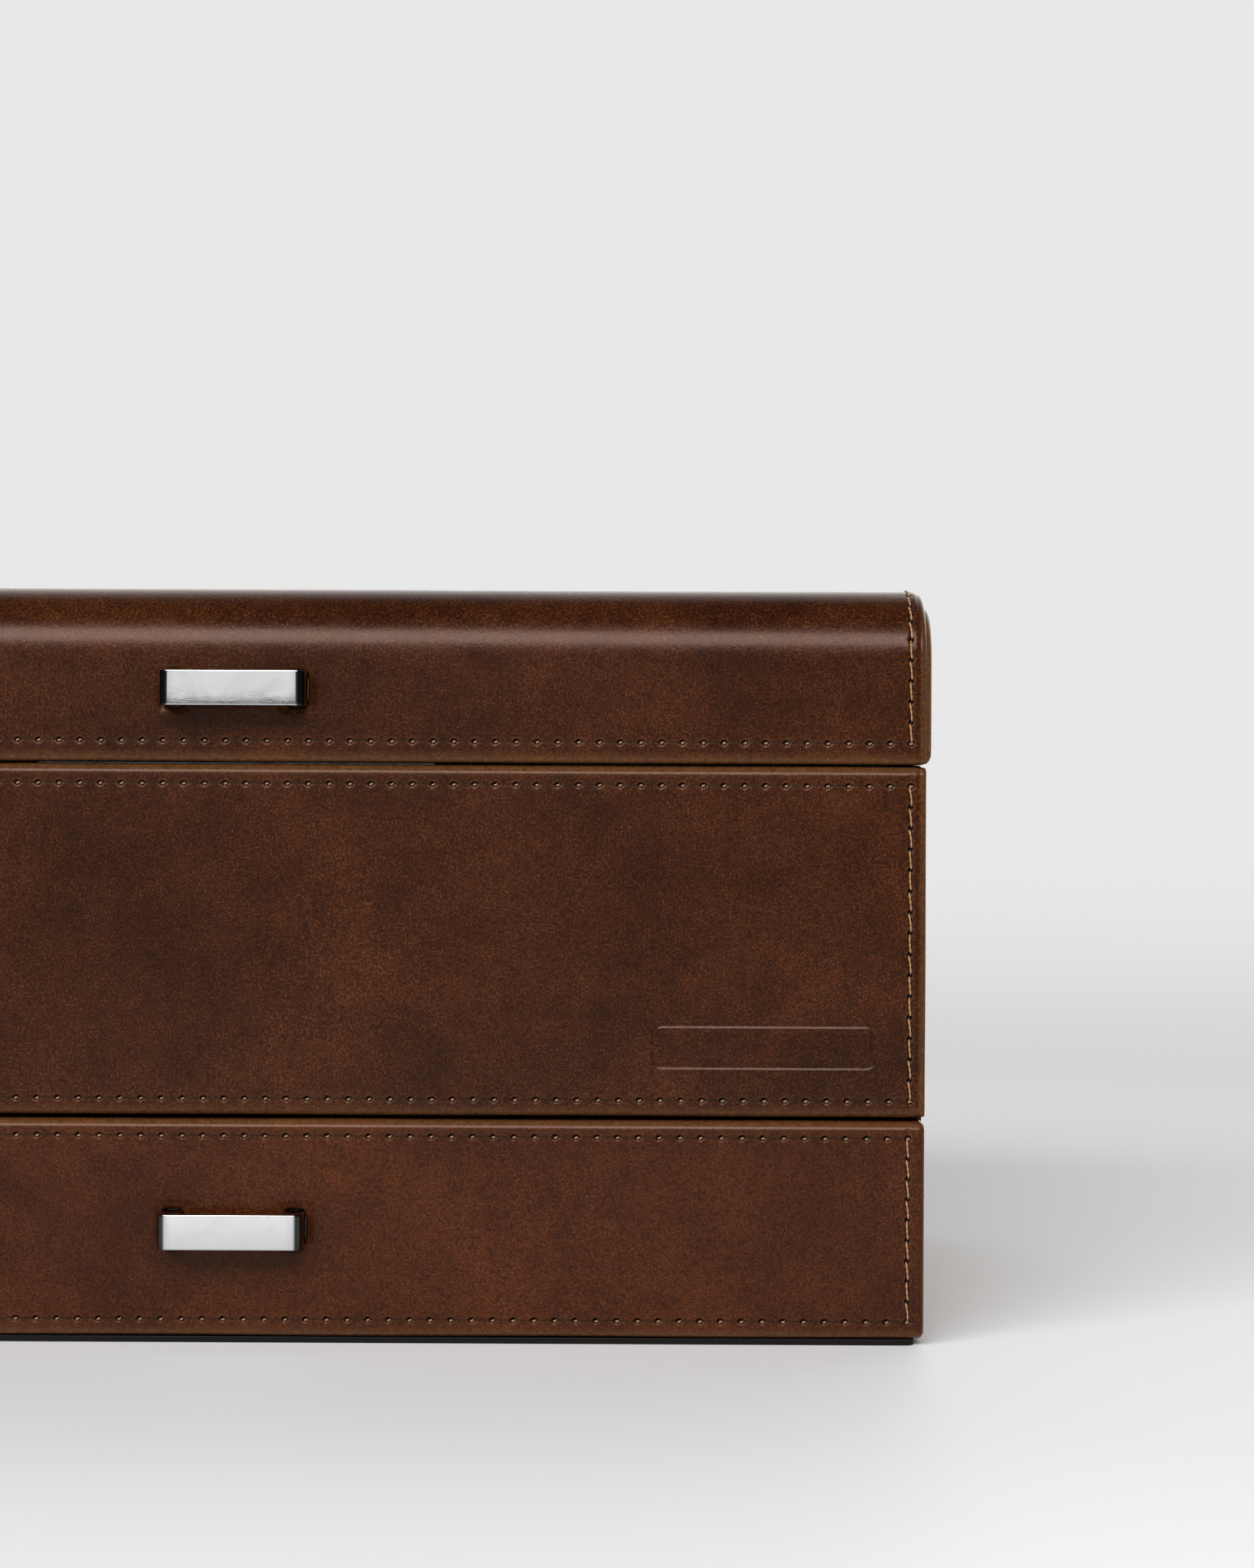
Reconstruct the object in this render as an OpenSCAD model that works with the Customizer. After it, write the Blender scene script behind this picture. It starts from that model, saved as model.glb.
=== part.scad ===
// Leather jewellery case: a hinged lid over a lined compartment, with a pull-out drawer below.
// Millimetres. +X is the viewer's right, -Y is the front, +Z is up.
// The origin is the centre of the underside, on the surface that the case stands on.

/* [Overall] */
// Width across the leather front panels
box_w = 300; // [240:1:380]
// Depth from the front face to the back face
box_d = 205; // [170:1:260]

/* [Tiers] */
// Height of the drawer front
drawer_front_h = 47.2; // [40:0.1:60]
// Height of the fixed middle tier
body_h = 76.3; // [66:0.1:100]
// Height of the lid
lid_h = 38.3; // [34:0.1:50]
// Gap between the drawer front and the middle tier
drawer_gap = 0.8; // [0.4:0.1:1.5]
// Gap between the middle tier and the lid
lid_gap = 0.5; // [0.4:0.1:1.2]

/* [Boards] */
// Thickness of the carcass side and back boards
carcass_t = 6; // [5:0.5:9]
// Thickness of the board behind the middle tier's leather, and of the lid's front rail
front_board_t = 9.5; // [8:0.5:13]
// Thickness of the board behind the drawer's leather
drawer_front_t = 8; // [6.5:0.5:11]
// Thickness of the base board
base_t = 5; // [4:0.5:7]
// Thickness of the deck between the drawer and the compartment
deck_t = 5; // [4:0.5:7]
// Thickness of the lid's top board
lid_top_t = 5; // [4:0.5:6]
// Thickness of the drawer's sides and back
drawer_side_t = 4; // [3:0.5:6]
// Thickness of the drawer's bottom
drawer_bottom_t = 3; // [2.5:0.5:4]
// Thickness of the dividers
divider_t = 3; // [2:0.5:4]

/* [Leather and lining] */
// Thickness of the leather
skin_t = 1.2; // [0.8:0.1:1.6]
// Thickness of the leather pad on each side of the case
side_pad_t = 1.8; // [1.4:0.1:3]
// Thickness of the leather pad on each end of the lid
lid_pad_side_t = 2.8; // [2:0.1:4]
// Thickness of the sheet under the base
base_sheet_t = 1.2; // [1:0.1:2]
// Thickness of the compartment's lined walls and floor
liner_t = 2; // [1.8:0.1:3]
// Thickness of the drawer's lined walls and floor
drawer_liner_t = 1.6; // [1.2:0.1:2.4]
// Thickness of the lining inside the lid frame
lid_lining_t = 1; // [0.6:0.1:1.5]
// Thickness of the padded panel under the lid's top
lid_pad_t = 8; // [5:0.5:10]
// How far the compartment's lining stands up into the lid
lip_h = 4; // [2:0.5:6]
// Clearance between the lip and the lid frame
lip_clear = 0.7; // [0.5:0.1:1]

/* [Rounding] */
// Radius of the lid's rolled front edge, over the leather
lid_front_r = 15; // [10:0.5:18]
// Radius of the lid's rolled back edge, over the leather
lid_back_r = 8; // [5:0.5:14]
// Radius of the lid's lower edges, over the leather
lid_edge_r = 1.2; // [0.8:0.1:2.5]
// Radius of the other leather edges
edge_r = 2.2; // [1.5:0.1:3]

/* [Handles] */
// Width of each pull
handle_w = 31.2; // [26:0.1:40]
// Height of each pull
handle_h = 7.7; // [6.5:0.1:10]
// How far each pull stands out from the leather
handle_reach = 9; // [7.5:0.1:12]
// Thickness of the pull's bar
handle_bar_t = 2.4; // [1.8:0.1:3]
// Thickness of the pull's legs
handle_leg_t = 4.6; // [4.2:0.1:6]
// Radius of the pull's outer corners
handle_corner_r = 2.2; // [1.5:0.1:4.5]
// Height of the lid pull's middle above the lid's lower edge
lid_handle_up = 15.8; // [10:0.1:18]
// Margin of the leather's pocket around each pull
pocket_margin = 0.7; // [0.3:0.1:1]
// Radius of the pull's screws
screw_r = 1.5; // [1.25:0.05:1.75]

/* [Hinges] */
// Width of each hinge
hinge_w = 36; // [28:1:46]
// Distance from the middle of the case to each hinge's middle
hinge_x = 95; // [70:1:115]
// Radius of the hinge pin
pin_r = 1; // [0.8:0.05:1.25]
// Radius of the knuckles
knuckle_r = 2.4; // [2.2:0.1:2.9]
// Distance of the hinge axis behind the back face
hinge_back = 1.2; // [1:0.1:1.6]
// Thickness of the leaves
leaf_t = 1; // [0.8:0.1:1]
// Angle at which the stop lugs meet
open_angle = 100; // [90:1:110]

/* [Drawer] */
// Length of the drawer box that stays in the case when the drawer is fully out
drawer_keep = 45.6; // [35:0.1:80]
// Height of the drawer box
drawer_box_h = 39; // [30:0.5:39.5]
// Clearance at each side of the drawer box
drawer_side_clear = 0.6; // [0.3:0.1:1]
// Thickness of the runner strips
runner_t = 0.6; // [0.4:0.1:1]

/* [Interior] */
// Height of the dividers above the compartment's floor
divider_h = 52; // [40:1:56]
// Height of the dividers above the drawer's floor
drawer_divider_h = 28; // [20:1:31]
// Clearance between a pillow and its bay
pillow_clear = 4; // [3:0.5:6]
// Height of a pillow
pillow_h = 49; // [38:1:54]
// Number of ring rolls
ring_rolls_n = 6; // [4:1:8]
// Height of the foam block under the ring rolls
ring_base_h = 36; // [24:1:40]

/* [Hidden] */
$fn = 96;

leather = [0.27, 0.15, 0.10];
board_wood = [0.62, 0.48, 0.34];
suede = [0.72, 0.66, 0.58];
metal = [0.85, 0.85, 0.86];
dark_sheet = [0.12, 0.08, 0.06];

// Clearances and small fixed sizes
keeper_w = 86;
keeper_d = 6;
keeper_in = 1;         // behind the board's front face
keeper_proud = 0.25;
seam = 0.2;            // between two leather pieces that meet
front_clear = 0.3;     // between the drawer front and the trim behind it
base_inset_side = 2;   // base sheet in from the sides
base_inset_front = 1.2;
drop = 0.1;            // drawer bottom above its runners
butt = 0.05;           // between a cross divider and the long one
back_space = 3;        // behind the closed drawer
eps = 0.01;

// Levels, from the underside up
base_z = base_sheet_t;
bay_z0 = base_z + base_t;
drawer_front_z = base_sheet_t + 0.3;
body_z = drawer_front_z + drawer_front_h + drawer_gap;
rim_z = body_z + body_h;
lid_z = rim_z + lid_gap;
top_z = lid_z + lid_h;
deck_z = body_z + skin_t;
floor_z = deck_z + deck_t + liner_t;
axis_z = rim_z + lid_gap / 2;
divider_top = floor_z + divider_h;

// Widths and depths
front_y = -box_d / 2;
back_y = box_d / 2;
core_x = box_w / 2 - skin_t;                  // outer face of the carcass boards
inner_x = core_x - carcass_t;                 // inner face of the side boards
core_y0 = front_y + skin_t;
inner_y0 = core_y0 + front_board_t;           // inner face of the front board
core_y1 = back_y - skin_t;
inner_y1 = core_y1 - carcass_t;               // inner face of the back board
drawer_back_face = front_y + skin_t + drawer_front_t;
axis_y = back_y + hinge_back;
leaf_d = axis_y - inner_y1 - seam;            // each leaf reaches to the board's inner face

// Compartment
liner_x = inner_x - liner_t;
liner_y0 = inner_y0 + liner_t;
liner_y1 = inner_y1 - liner_t;
mid_y = (liner_y0 + liner_y1) / 2;
back_bays = 4;
front_bays = 3;

// Drawer box
dbox_x = inner_x - drawer_side_clear;
dbox_in_x = dbox_x - drawer_side_t;
dbox_z = bay_z0 + runner_t + drop;
dbox_y1 = inner_y1 - back_space;
dback_y = dbox_y1 - drawer_side_t;
dfloor_z = dbox_z + drawer_bottom_t;
dbox_top = dbox_z + drawer_box_h;
dback_top = dbox_top + 3;
drawer_travel = dbox_y1 - drawer_back_face - drawer_keep;
stop_clear = 0.9;                             // between a stop and the drawer's sides below it
tray_x = dbox_in_x - drawer_liner_t;
tray_y0 = drawer_back_face + drawer_liner_t;
tray_y1 = dback_y - drawer_liner_t;
tray_z = dfloor_z + drawer_liner_t;
drawer_column = tray_x * 2 / 3;               // width of each of the drawer's three columns

// Pulls
drawer_handle_z = drawer_front_z + drawer_front_h / 2;
lid_handle_z = lid_z + lid_handle_up;
handle_leg_x = handle_w / 2 - handle_leg_t / 2;
screw_bite = 6;
screw_head_r = 2.8;
screw_head_t = 1.8;

// Hinges
bore_clear = 0.05;
notch_r = knuckle_r + 0.4;
leaf_gap = lid_gap / 2 + skin_t - leaf_t;     // from the axis to a leaf that lies on its board
knuckle_len = (hinge_w - 0.4) / 3;
hinge_screw_r = 1;
hinge_screw_len = 9;
hinge_screw_head_r = 1.9;
hinge_screw_step = 12;
hinge_screw_y = (inner_y1 + core_y1) / 2;
lug_r = knuckle_r + 1.5;
lug_half = 14;                                // half the angle that each stop lug spans
lug_rest = 20;                                // angle of the lid's lug behind the vertical when shut

// ---- Shapes that several pieces share ----

// A spandrel: what rounding a corner at the origin by r removes.
module spandrel(r) {
    difference() {
        translate([-1, -1]) square(r + 1);
        translate([r, r]) circle(r);
    }
}

// A rectangle from (x0, y0) to (x1, y1), its corners rounded by r = [lower left, lower right, upper right, upper left].
module rounded(x0, y0, x1, y1, r) {
    difference() {
        translate([x0, y0]) square([x1 - x0, y1 - y0]);
        if (r[0] > 0) translate([x0, y0]) spandrel(r[0]);
        if (r[1] > 0) translate([x1, y0]) mirror([1, 0]) spandrel(r[1]);
        if (r[2] > 0) translate([x1, y1]) mirror([1, 0]) mirror([0, 1]) spandrel(r[2]);
        if (r[3] > 0) translate([x0, y1]) mirror([0, 1]) spandrel(r[3]);
    }
}

// Extrudes a (Y, Z) outline along X, from x0 to x1.
module along_x(x0, x1) {
    translate([x0, 0, 0]) rotate([90, 0, 90]) linear_extrude(x1 - x0) children();
}

// Extrudes an (X, Z) outline along Y, from y0 to y1.
module along_y(y0, y1) {
    translate([0, y1, 0]) rotate([90, 0, 0]) linear_extrude(y1 - y0) children();
}

// A block between two corners.
module block(a, b) {
    translate(a) cube(b - a);
}

// Both sides: the children as drawn, and mirrored across the middle.
module both() {
    children();
    mirror([1, 0, 0]) children();
}

// A wall, open above: the outer block less the inner one.
module tray(a, b, t) {
    difference() {
        block(a, b);
        block(a + [t, t, t], [b[0] - t, b[1] - t, b[2] + 1]);
    }
}

// ---- Carcass ----

module base_sheet() color(dark_sheet)
    linear_extrude(base_sheet_t)
        rounded(-box_w / 2 + base_inset_side, front_y + base_inset_front,
                box_w / 2 - base_inset_side, back_y - base_inset_front, [2, 2, 2, 2]);

module base_board() color(board_wood)
    block([-inner_x, inner_y0, base_z], [inner_x, inner_y1, bay_z0]);

module side_board() color(board_wood)
    block([inner_x, inner_y0, base_z], [core_x, inner_y1, rim_z - skin_t]);

module back_board() color(board_wood)
    difference() {
        block([-core_x, inner_y1, base_z], [core_x, core_y1, rim_z - skin_t]);
        hinge_cuts(rim_z);
    }

module deck_board() color(board_wood)
    block([-inner_x, inner_y0, deck_z], [inner_x, inner_y1, deck_z + deck_t]);

module body_front_board() color(board_wood)
    block([-core_x, core_y0, body_z + skin_t], [core_x, inner_y0, rim_z - skin_t]);

// Leather around a front panel: the face, the top and bottom edges, and the ends of a board that reaches to
// board_x; open at the back.
module front_skin(z0, z1, y1, board_x) {
    difference() {
        along_x(-box_w / 2, box_w / 2) rounded(front_y, z0, y1, z1, [edge_r, 0, 0, edge_r]);
        block([-board_x, core_y0, z0 + skin_t], [board_x, y1 + 1, z1 - skin_t]);
    }
}

module body_front_skin() color(leather)
    difference() {
        front_skin(body_z, rim_z, inner_y0, box_w);
        keeper_block(1);
    }

// Padded leather on the side, turned over the rim. Its front tongue covers the front board's end, between the
// turned edges of the front leather.
module side_skin() color(leather) {
    difference() {
        along_y(inner_y0 + seam, core_y1)
            rounded(inner_x, base_z, core_x + side_pad_t, rim_z, [0, 1, edge_r, 0]);
        block([inner_x - 1, inner_y0 - 1, base_z - 1], [core_x, core_y1 + 1, rim_z - skin_t]);
    }
    block([core_x, core_y0 + seam, body_z + skin_t + seam],
          [core_x + side_pad_t, inner_y0 + seam + eps, rim_z - edge_r]);
}

module back_skin() color(leather)
    difference() {
        union() {
            along_x(-core_x - side_pad_t, core_x + side_pad_t)
                difference() {
                    rounded(inner_y1, base_z, back_y, rim_z, [0, 1, edge_r, 0]);
                    translate([inner_y1 - 1, base_z - 1]) square([carcass_t + 1, body_z + body_h]);
                }
            block([-inner_x, inner_y1, rim_z - skin_t], [inner_x, core_y1 + eps, rim_z]);
        }
        hinge_cuts(rim_z);
    }

// A leather trim on the front edges of the base and side boards, around the drawer's way in.
module bay_trim() color(leather)
    difference() {
        block([-box_w / 2, drawer_back_face + front_clear, base_z], [box_w / 2, inner_y0, body_z - seam]);
        block([-inner_x, front_y, bay_z0], [inner_x, inner_y0 + 1, body_z + 1]);
    }

// The steel strip lies on the front board, in a slot through the leather, and stands just proud of it.
module keeper_block(above) {
    block([-keeper_w / 2, core_y0 + keeper_in, rim_z - skin_t],
          [keeper_w / 2, core_y0 + keeper_in + keeper_d, rim_z + above]);
}

module keeper_plate() color(metal) keeper_block(keeper_proud);

module drawer_runners() color(suede)
    both() block([inner_x - 18, inner_y0 + 4, bay_z0], [inner_x - 6, inner_y1 - 4, bay_z0 + runner_t]);

module drawer_stops() color(board_wood)
    both() block([inner_x - 40, dback_y - drawer_travel - 12, dbox_top + stop_clear],
                 [inner_x - 20, dback_y - drawer_travel, deck_z]);

// ---- Compartment ----

// The lined walls stand up past the rim as a lip, which is thinner there to clear the lid.
module liner_wall(a, b) color(suede)
    difference() {
        block(a, [b[0], b[1], rim_z + lip_h]);
        difference() {
            block([-inner_x - 1, inner_y0 - 1, rim_z], [inner_x + 1, inner_y1 + 1, rim_z + lip_h + 1]);
            block([-inner_x + lip_clear, inner_y0 + lip_clear, rim_z - 1],
                  [inner_x - lip_clear, inner_y1 - lip_clear, rim_z + lip_h + 2]);
        }
    }

module liner_front() liner_wall([-inner_x, inner_y0, floor_z], [inner_x, liner_y0]);

module liner_back() liner_wall([-inner_x, liner_y1, floor_z], [inner_x, inner_y1]);

module liner_side() liner_wall([liner_x, liner_y0, floor_z], [inner_x, liner_y1]);

module liner_floor() color(suede)
    block([-inner_x, inner_y0, deck_z + deck_t], [inner_x, inner_y1, floor_z]);

module long_divider() color(suede)
    block([-liner_x, mid_y - divider_t / 2, floor_z], [liner_x, mid_y + divider_t / 2, divider_top]);

// Dividers that cut a row into n equal bays.
module row_dividers(n, y0, y1) {
    bay = bay_width(n);
    for (i = [1 : n - 1])
        block([-liner_x + i * bay + (i - 1) * divider_t, y0, floor_z],
              [-liner_x + i * (bay + divider_t), y1, divider_top]);
}

function bay_width(n) = (2 * liner_x - (n - 1) * divider_t) / n;
function bay_x(n, i) = -liner_x + i * (bay_width(n) + divider_t) + bay_width(n) / 2;

module cross_dividers() color(suede) {
    row_dividers(back_bays, mid_y + divider_t / 2 + butt, liner_y1);
    row_dividers(front_bays, liner_y0, mid_y - divider_t / 2 - butt);
}

pillow_r = 14;
module pillow(i) color(suede) {
    w = bay_width(back_bays) - 2 * pillow_clear;
    y0 = mid_y + divider_t / 2 + pillow_clear;
    y1 = liner_y1 - pillow_clear;
    translate([bay_x(back_bays, i), 0, 0])
        intersection() {
            along_x(-w / 2, w / 2)
                rounded(y0, floor_z, y1, floor_z + pillow_h, [3, 3, pillow_r, pillow_r]);
            along_y(y0 - 1, y1 + 1)
                rounded(-w / 2, floor_z, w / 2, floor_z + pillow_h, [3, 3, 8, 8]);
        }
}

ring_gap = 0.4;
ring_pitch = (mid_y - divider_t / 2 - liner_y0) / ring_rolls_n;
ring_r = ring_pitch / 2 - ring_gap;
ring_flat = 0.3;       // share of a roll's radius that its flat foot takes off
ring_w = bay_width(front_bays) - 2 * ring_gap;

module ring_base() color(suede)
    block([bay_x(front_bays, 0) - ring_w / 2, liner_y0 + ring_gap, floor_z],
          [bay_x(front_bays, 0) + ring_w / 2, mid_y - divider_t / 2 - ring_gap, floor_z + ring_base_h]);

module ring_rolls() color(suede)
    for (i = [0 : ring_rolls_n - 1])
        translate([bay_x(front_bays, 0), liner_y0 + (i + 0.5) * ring_pitch,
                   floor_z + ring_base_h + ring_r * (1 - ring_flat)])
            difference() {
                rotate([0, 90, 0]) cylinder(h = ring_w, r = ring_r, center = true);
                block([-ring_w, -ring_pitch, -2 * ring_r], [ring_w, ring_pitch, -ring_r * (1 - ring_flat)]);
            }

// ---- Hinges ----

// What a hinge takes out of a rim at height z: the leather where the leaf lies on the board, room for the
// knuckles, and the screws' pilot holes.
module hinge_cuts(z) {
    seat_z = z == rim_z ? [rim_z - skin_t, axis_z] : [axis_z, lid_z + skin_t];
    down = z == rim_z ? 1 : -1;
    both() translate([hinge_x, 0, 0]) {
        block([-hinge_w / 2 - seam, axis_y - leaf_d - seam, seat_z[0]],
              [hinge_w / 2 + seam, axis_y + seam, seat_z[1]]);
        translate([0, axis_y, axis_z]) rotate([0, 90, 0])
            cylinder(h = hinge_w + 2 * seam, r = notch_r, center = true);
        for (i = [-1 : 1])
            translate([i * hinge_screw_step, hinge_screw_y, axis_z - down * (hinge_screw_len + leaf_t) / 2])
                cylinder(h = hinge_screw_len + leaf_t, r = hinge_screw_r, center = true);
    }
}

// A ring sector on the hinge axis: angles are measured backwards from straight up.
module lug(from, to, x0, x1) {
    translate([0, axis_y, axis_z])
        along_x(x0, x1)
            difference() {
                polygon(concat([[0, 0]], [for (a = [from, (from + to) / 2, to])
                    [sin(a), cos(a)] * lug_r / cos((to - from) / 4)]));
                circle(knuckle_r - 0.2);
            }
}

module knuckle(x0, x1, bore) {
    translate([x0, axis_y, axis_z]) rotate([0, 90, 0]) difference() {
        cylinder(h = x1 - x0, r = knuckle_r);
        translate([0, 0, -1]) cylinder(h = x1 - x0 + 2, r = bore);
    }
}

// A leaf's plate, cut back from the other leaf's knuckles, with its countersunk screw holes.
// side is -1 for the case's leaf, below the axis, and 1 for the lid's leaf, above it.
module leaf_plate(side) {
    z0 = side < 0 ? axis_z - leaf_gap - leaf_t : axis_z + leaf_gap;
    difference() {
        block([-hinge_w / 2, axis_y - leaf_d, z0], [hinge_w / 2, axis_y, z0 + leaf_t]);
        translate([0, axis_y, axis_z]) rotate([0, 90, 0])
            cylinder(h = hinge_w + 2, r = knuckle_r + 0.25, center = true);
        for (i = [-1 : 1])
            translate([i * hinge_screw_step, hinge_screw_y, z0 - 1]) {
                cylinder(h = leaf_t + 2, r = hinge_screw_r + 0.1);
                translate([0, 0, 1 + (side < 0 ? 0 : leaf_t)]) screw_cone(side, 0.05);
            }
    }
}

// The cone of a countersunk head, opening towards the seam from the origin.
module screw_cone(side, extra) {
    mirror([0, 0, side < 0 ? 0 : 1])
        cylinder(h = leaf_t, r1 = hinge_screw_r + extra, r2 = hinge_screw_head_r + extra);
}

// The tab that joins a plate to one of its own knuckles.
module leaf_tab(side, x0, x1) {
    z0 = side < 0 ? axis_z - leaf_gap - leaf_t : axis_z + leaf_gap;
    block([x0, axis_y - knuckle_r - 0.6, z0], [x1, axis_y - pin_r - 0.3, z0 + leaf_t]);
}

module hinge_leaf_case() color(metal)
    translate([hinge_x, 0, 0]) {
        leaf_plate(-1);
        for (x = [-hinge_w / 2, hinge_w / 2 - knuckle_len]) {
            knuckle(x, x + knuckle_len, pin_r);
            leaf_tab(-1, x, x + knuckle_len);
        }
        // The fixed stop bridges the end knuckles behind the middle one, outside its radius.
        difference() {
            lug(lug_rest + open_angle + lug_half + 0.5, lug_rest + open_angle + 2 * lug_half,
                -hinge_w / 2, hinge_w / 2);
            translate([0, axis_y, axis_z]) rotate([0, 90, 0])
                cylinder(h = knuckle_len + 0.4, r = knuckle_r + 0.3, center = true);
        }
    }

module hinge_leaf_lid() color(metal)
    translate([hinge_x, 0, 0]) {
        leaf_plate(1);
        knuckle(-knuckle_len / 2, knuckle_len / 2, pin_r + bore_clear);
        leaf_tab(1, -knuckle_len / 2, knuckle_len / 2);
        lug(lug_rest - lug_half, lug_rest + lug_half, -knuckle_len / 2, knuckle_len / 2);
    }

module hinge_pins() color(metal)
    both() translate([hinge_x, axis_y, axis_z]) rotate([0, 90, 0])
        cylinder(h = hinge_w, r = pin_r, center = true);

module hinge_screws(side) color(metal)
    both() for (i = [-1 : 1])
        translate([hinge_x + i * hinge_screw_step, hinge_screw_y,
                   axis_z + side * (leaf_gap + leaf_t)]) {
            screw_cone(side, 0);
            mirror([0, 0, side < 0 ? 1 : 0])
                cylinder(h = hinge_screw_len - leaf_t, r = hinge_screw_r);
        }

// ---- Lid ----

// The lid's outline, drawn in by t from the leather's face.
module lid_outline(t) {
    rounded(front_y + t, lid_z + t, back_y - t, top_z - t,
            [max(lid_edge_r - t, 0.5), max(lid_edge_r - t, 0.5), lid_back_r - t, lid_front_r - t]);
}

module lid_core(x0, x1) along_x(x0, x1) lid_outline(skin_t);

module lid_front_rail() color(board_wood)
    difference() {
        intersection() {
            lid_core(-inner_x, inner_x);
            block([-inner_x, front_y, lid_z], [inner_x, inner_y0, top_z]);
        }
        pull_screw_holes(lid_handle_z, core_y0, inner_y0);
        both() translate([magnet_x, magnet_y, lid_z + skin_t - eps])
            cylinder(h = magnet_t + eps, r = magnet_r);
    }

module lid_back_rail() color(board_wood)
    difference() {
        intersection() {
            lid_core(-inner_x, inner_x);
            block([-inner_x, inner_y1, lid_z], [inner_x, back_y, top_z]);
        }
        hinge_cuts(lid_z);
    }

module lid_top_board() color(board_wood)
    intersection() {
        lid_core(-inner_x, inner_x);
        block([-inner_x, inner_y0, top_z - skin_t - lid_top_t], [inner_x, inner_y1, top_z]);
    }

module lid_side_board() color(board_wood) lid_core(inner_x, core_x);

// Leather over the lid's front, top and back in one piece, turned under both lower edges.
module lid_skin() color(leather)
    difference() {
        along_x(-box_w / 2, box_w / 2)
            difference() {
                lid_outline(0);
                lid_outline(skin_t);
                translate([inner_y0, lid_z - 1]) square([inner_y1 - inner_y0, skin_t + 2]);
            }
        pull_pocket(lid_handle_z);
        hinge_cuts(lid_z);
    }

// A padded leather end for the lid, set into the wrap, with a strip under the end board.
module lid_side_skin() color(leather) {
    along_x(core_x, core_x + lid_pad_side_t) lid_outline(skin_t + seam);
    block([inner_x, inner_y0 + seam, lid_z], [core_x + skin_t, inner_y1 - seam, lid_z + skin_t]);
    block([core_x, inner_y0 + seam, lid_z], [core_x + skin_t, inner_y1 - seam, lid_z + 2 * skin_t]);
}

lid_pad_z = top_z - skin_t - lid_top_t - lid_pad_t;

module lid_frame_lining() color(suede)
    difference() {
        block([-inner_x, inner_y0, rim_z + lip_h + lip_clear], [inner_x, inner_y1, lid_pad_z]);
        block([-inner_x + lid_lining_t, inner_y0 + lid_lining_t, rim_z],
              [inner_x - lid_lining_t, inner_y1 - lid_lining_t, top_z]);
    }

module lid_pad() color(suede)
    block([-inner_x, inner_y0, lid_pad_z], [inner_x, inner_y1, lid_pad_z + lid_pad_t]);

magnet_r = 3.2;
magnet_t = 3;
magnet_x = 30;
magnet_y = core_y0 + keeper_in + keeper_d / 2;

module lid_magnets() color(metal)
    both() translate([magnet_x, magnet_y, lid_z + skin_t]) cylinder(h = magnet_t, r = magnet_r);

// ---- Pulls ----

// The pull's outline in (X, Y): a bar with rounded outer corners on two legs.
module pull_outline() {
    y0 = front_y - handle_reach;
    difference() {
        rounded(-handle_w / 2, y0, handle_w / 2, core_y0, [handle_corner_r, handle_corner_r, 0, 0]);
        rounded(-handle_w / 2 + handle_leg_t, y0 + handle_bar_t, handle_w / 2 - handle_leg_t, core_y0 + 1,
                [1.5, 1.5, 0, 0]);
    }
}

module pull(z) color(metal)
    difference() {
        translate([0, 0, z - handle_h / 2]) linear_extrude(handle_h) pull_outline();
        both() translate([handle_leg_x, core_y0 - screw_bite, z]) rotate([-90, 0, 0])
            cylinder(h = screw_bite + 1, r = screw_r);
    }

// The hole in the leather that each leg of the pull goes through.
module pull_pocket(z) {
    both() block([handle_w / 2 - handle_leg_t - pocket_margin, front_y - 1, z - handle_h / 2 - pocket_margin],
                 [handle_w / 2 + pocket_margin, core_y0 + eps, z + handle_h / 2 + pocket_margin]);
}

// Through holes and head recesses for a pull's screws, in a board from y0 to y1.
module pull_screw_holes(z, y0, y1) {
    both() translate([handle_leg_x, 0, z]) {
        translate([0, y0 - 1, 0]) rotate([-90, 0, 0]) cylinder(h = y1 - y0 + 2, r = screw_r + 0.2);
        translate([0, y1 - screw_head_t - 0.2, 0]) rotate([-90, 0, 0])
            cylinder(h = screw_head_t + 1.2, r = screw_head_r + 0.3);
    }
}

module pull_screws(z, y1) color(metal)
    both() translate([handle_leg_x, 0, z]) {
        translate([0, core_y0 - screw_bite, 0]) rotate([-90, 0, 0])
            cylinder(h = y1 - core_y0 - 0.2 - screw_head_t + screw_bite, r = screw_r);
        translate([0, y1 - screw_head_t - 0.2, 0]) rotate([-90, 0, 0])
            cylinder(h = screw_head_t, r = screw_head_r);
    }

// ---- Drawer ----

module drawer_front_board() color(board_wood)
    difference() {
        block([-core_x, core_y0, drawer_front_z + skin_t],
              [core_x, drawer_back_face, drawer_front_z + drawer_front_h - skin_t]);
        pull_screw_holes(drawer_handle_z, core_y0, drawer_back_face);
    }

module drawer_front_skin() color(leather)
    difference() {
        front_skin(drawer_front_z, drawer_front_z + drawer_front_h, drawer_back_face, core_x);
        pull_pocket(drawer_handle_z);
    }

module drawer_side() color(board_wood)
    block([dbox_in_x, drawer_back_face, dbox_z], [dbox_x, dbox_y1, dbox_top]);

module drawer_back() color(board_wood)
    block([-dbox_in_x, dback_y, dbox_z], [dbox_in_x, dbox_y1, dback_top]);

module drawer_bottom() color(board_wood)
    block([-dbox_in_x, drawer_back_face, dbox_z], [dbox_in_x, dback_y, dfloor_z]);

module drawer_liner() color(suede)
    tray([-dbox_in_x, drawer_back_face, dfloor_z], [dbox_in_x, dback_y, dbox_top], drawer_liner_t);

module drawer_dividers() color(suede)
    both() block([drawer_column / 2 - divider_t / 2, tray_y0, tray_z],
                 [drawer_column / 2 + divider_t / 2, tray_y1, tray_z + drawer_divider_h]);

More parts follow.
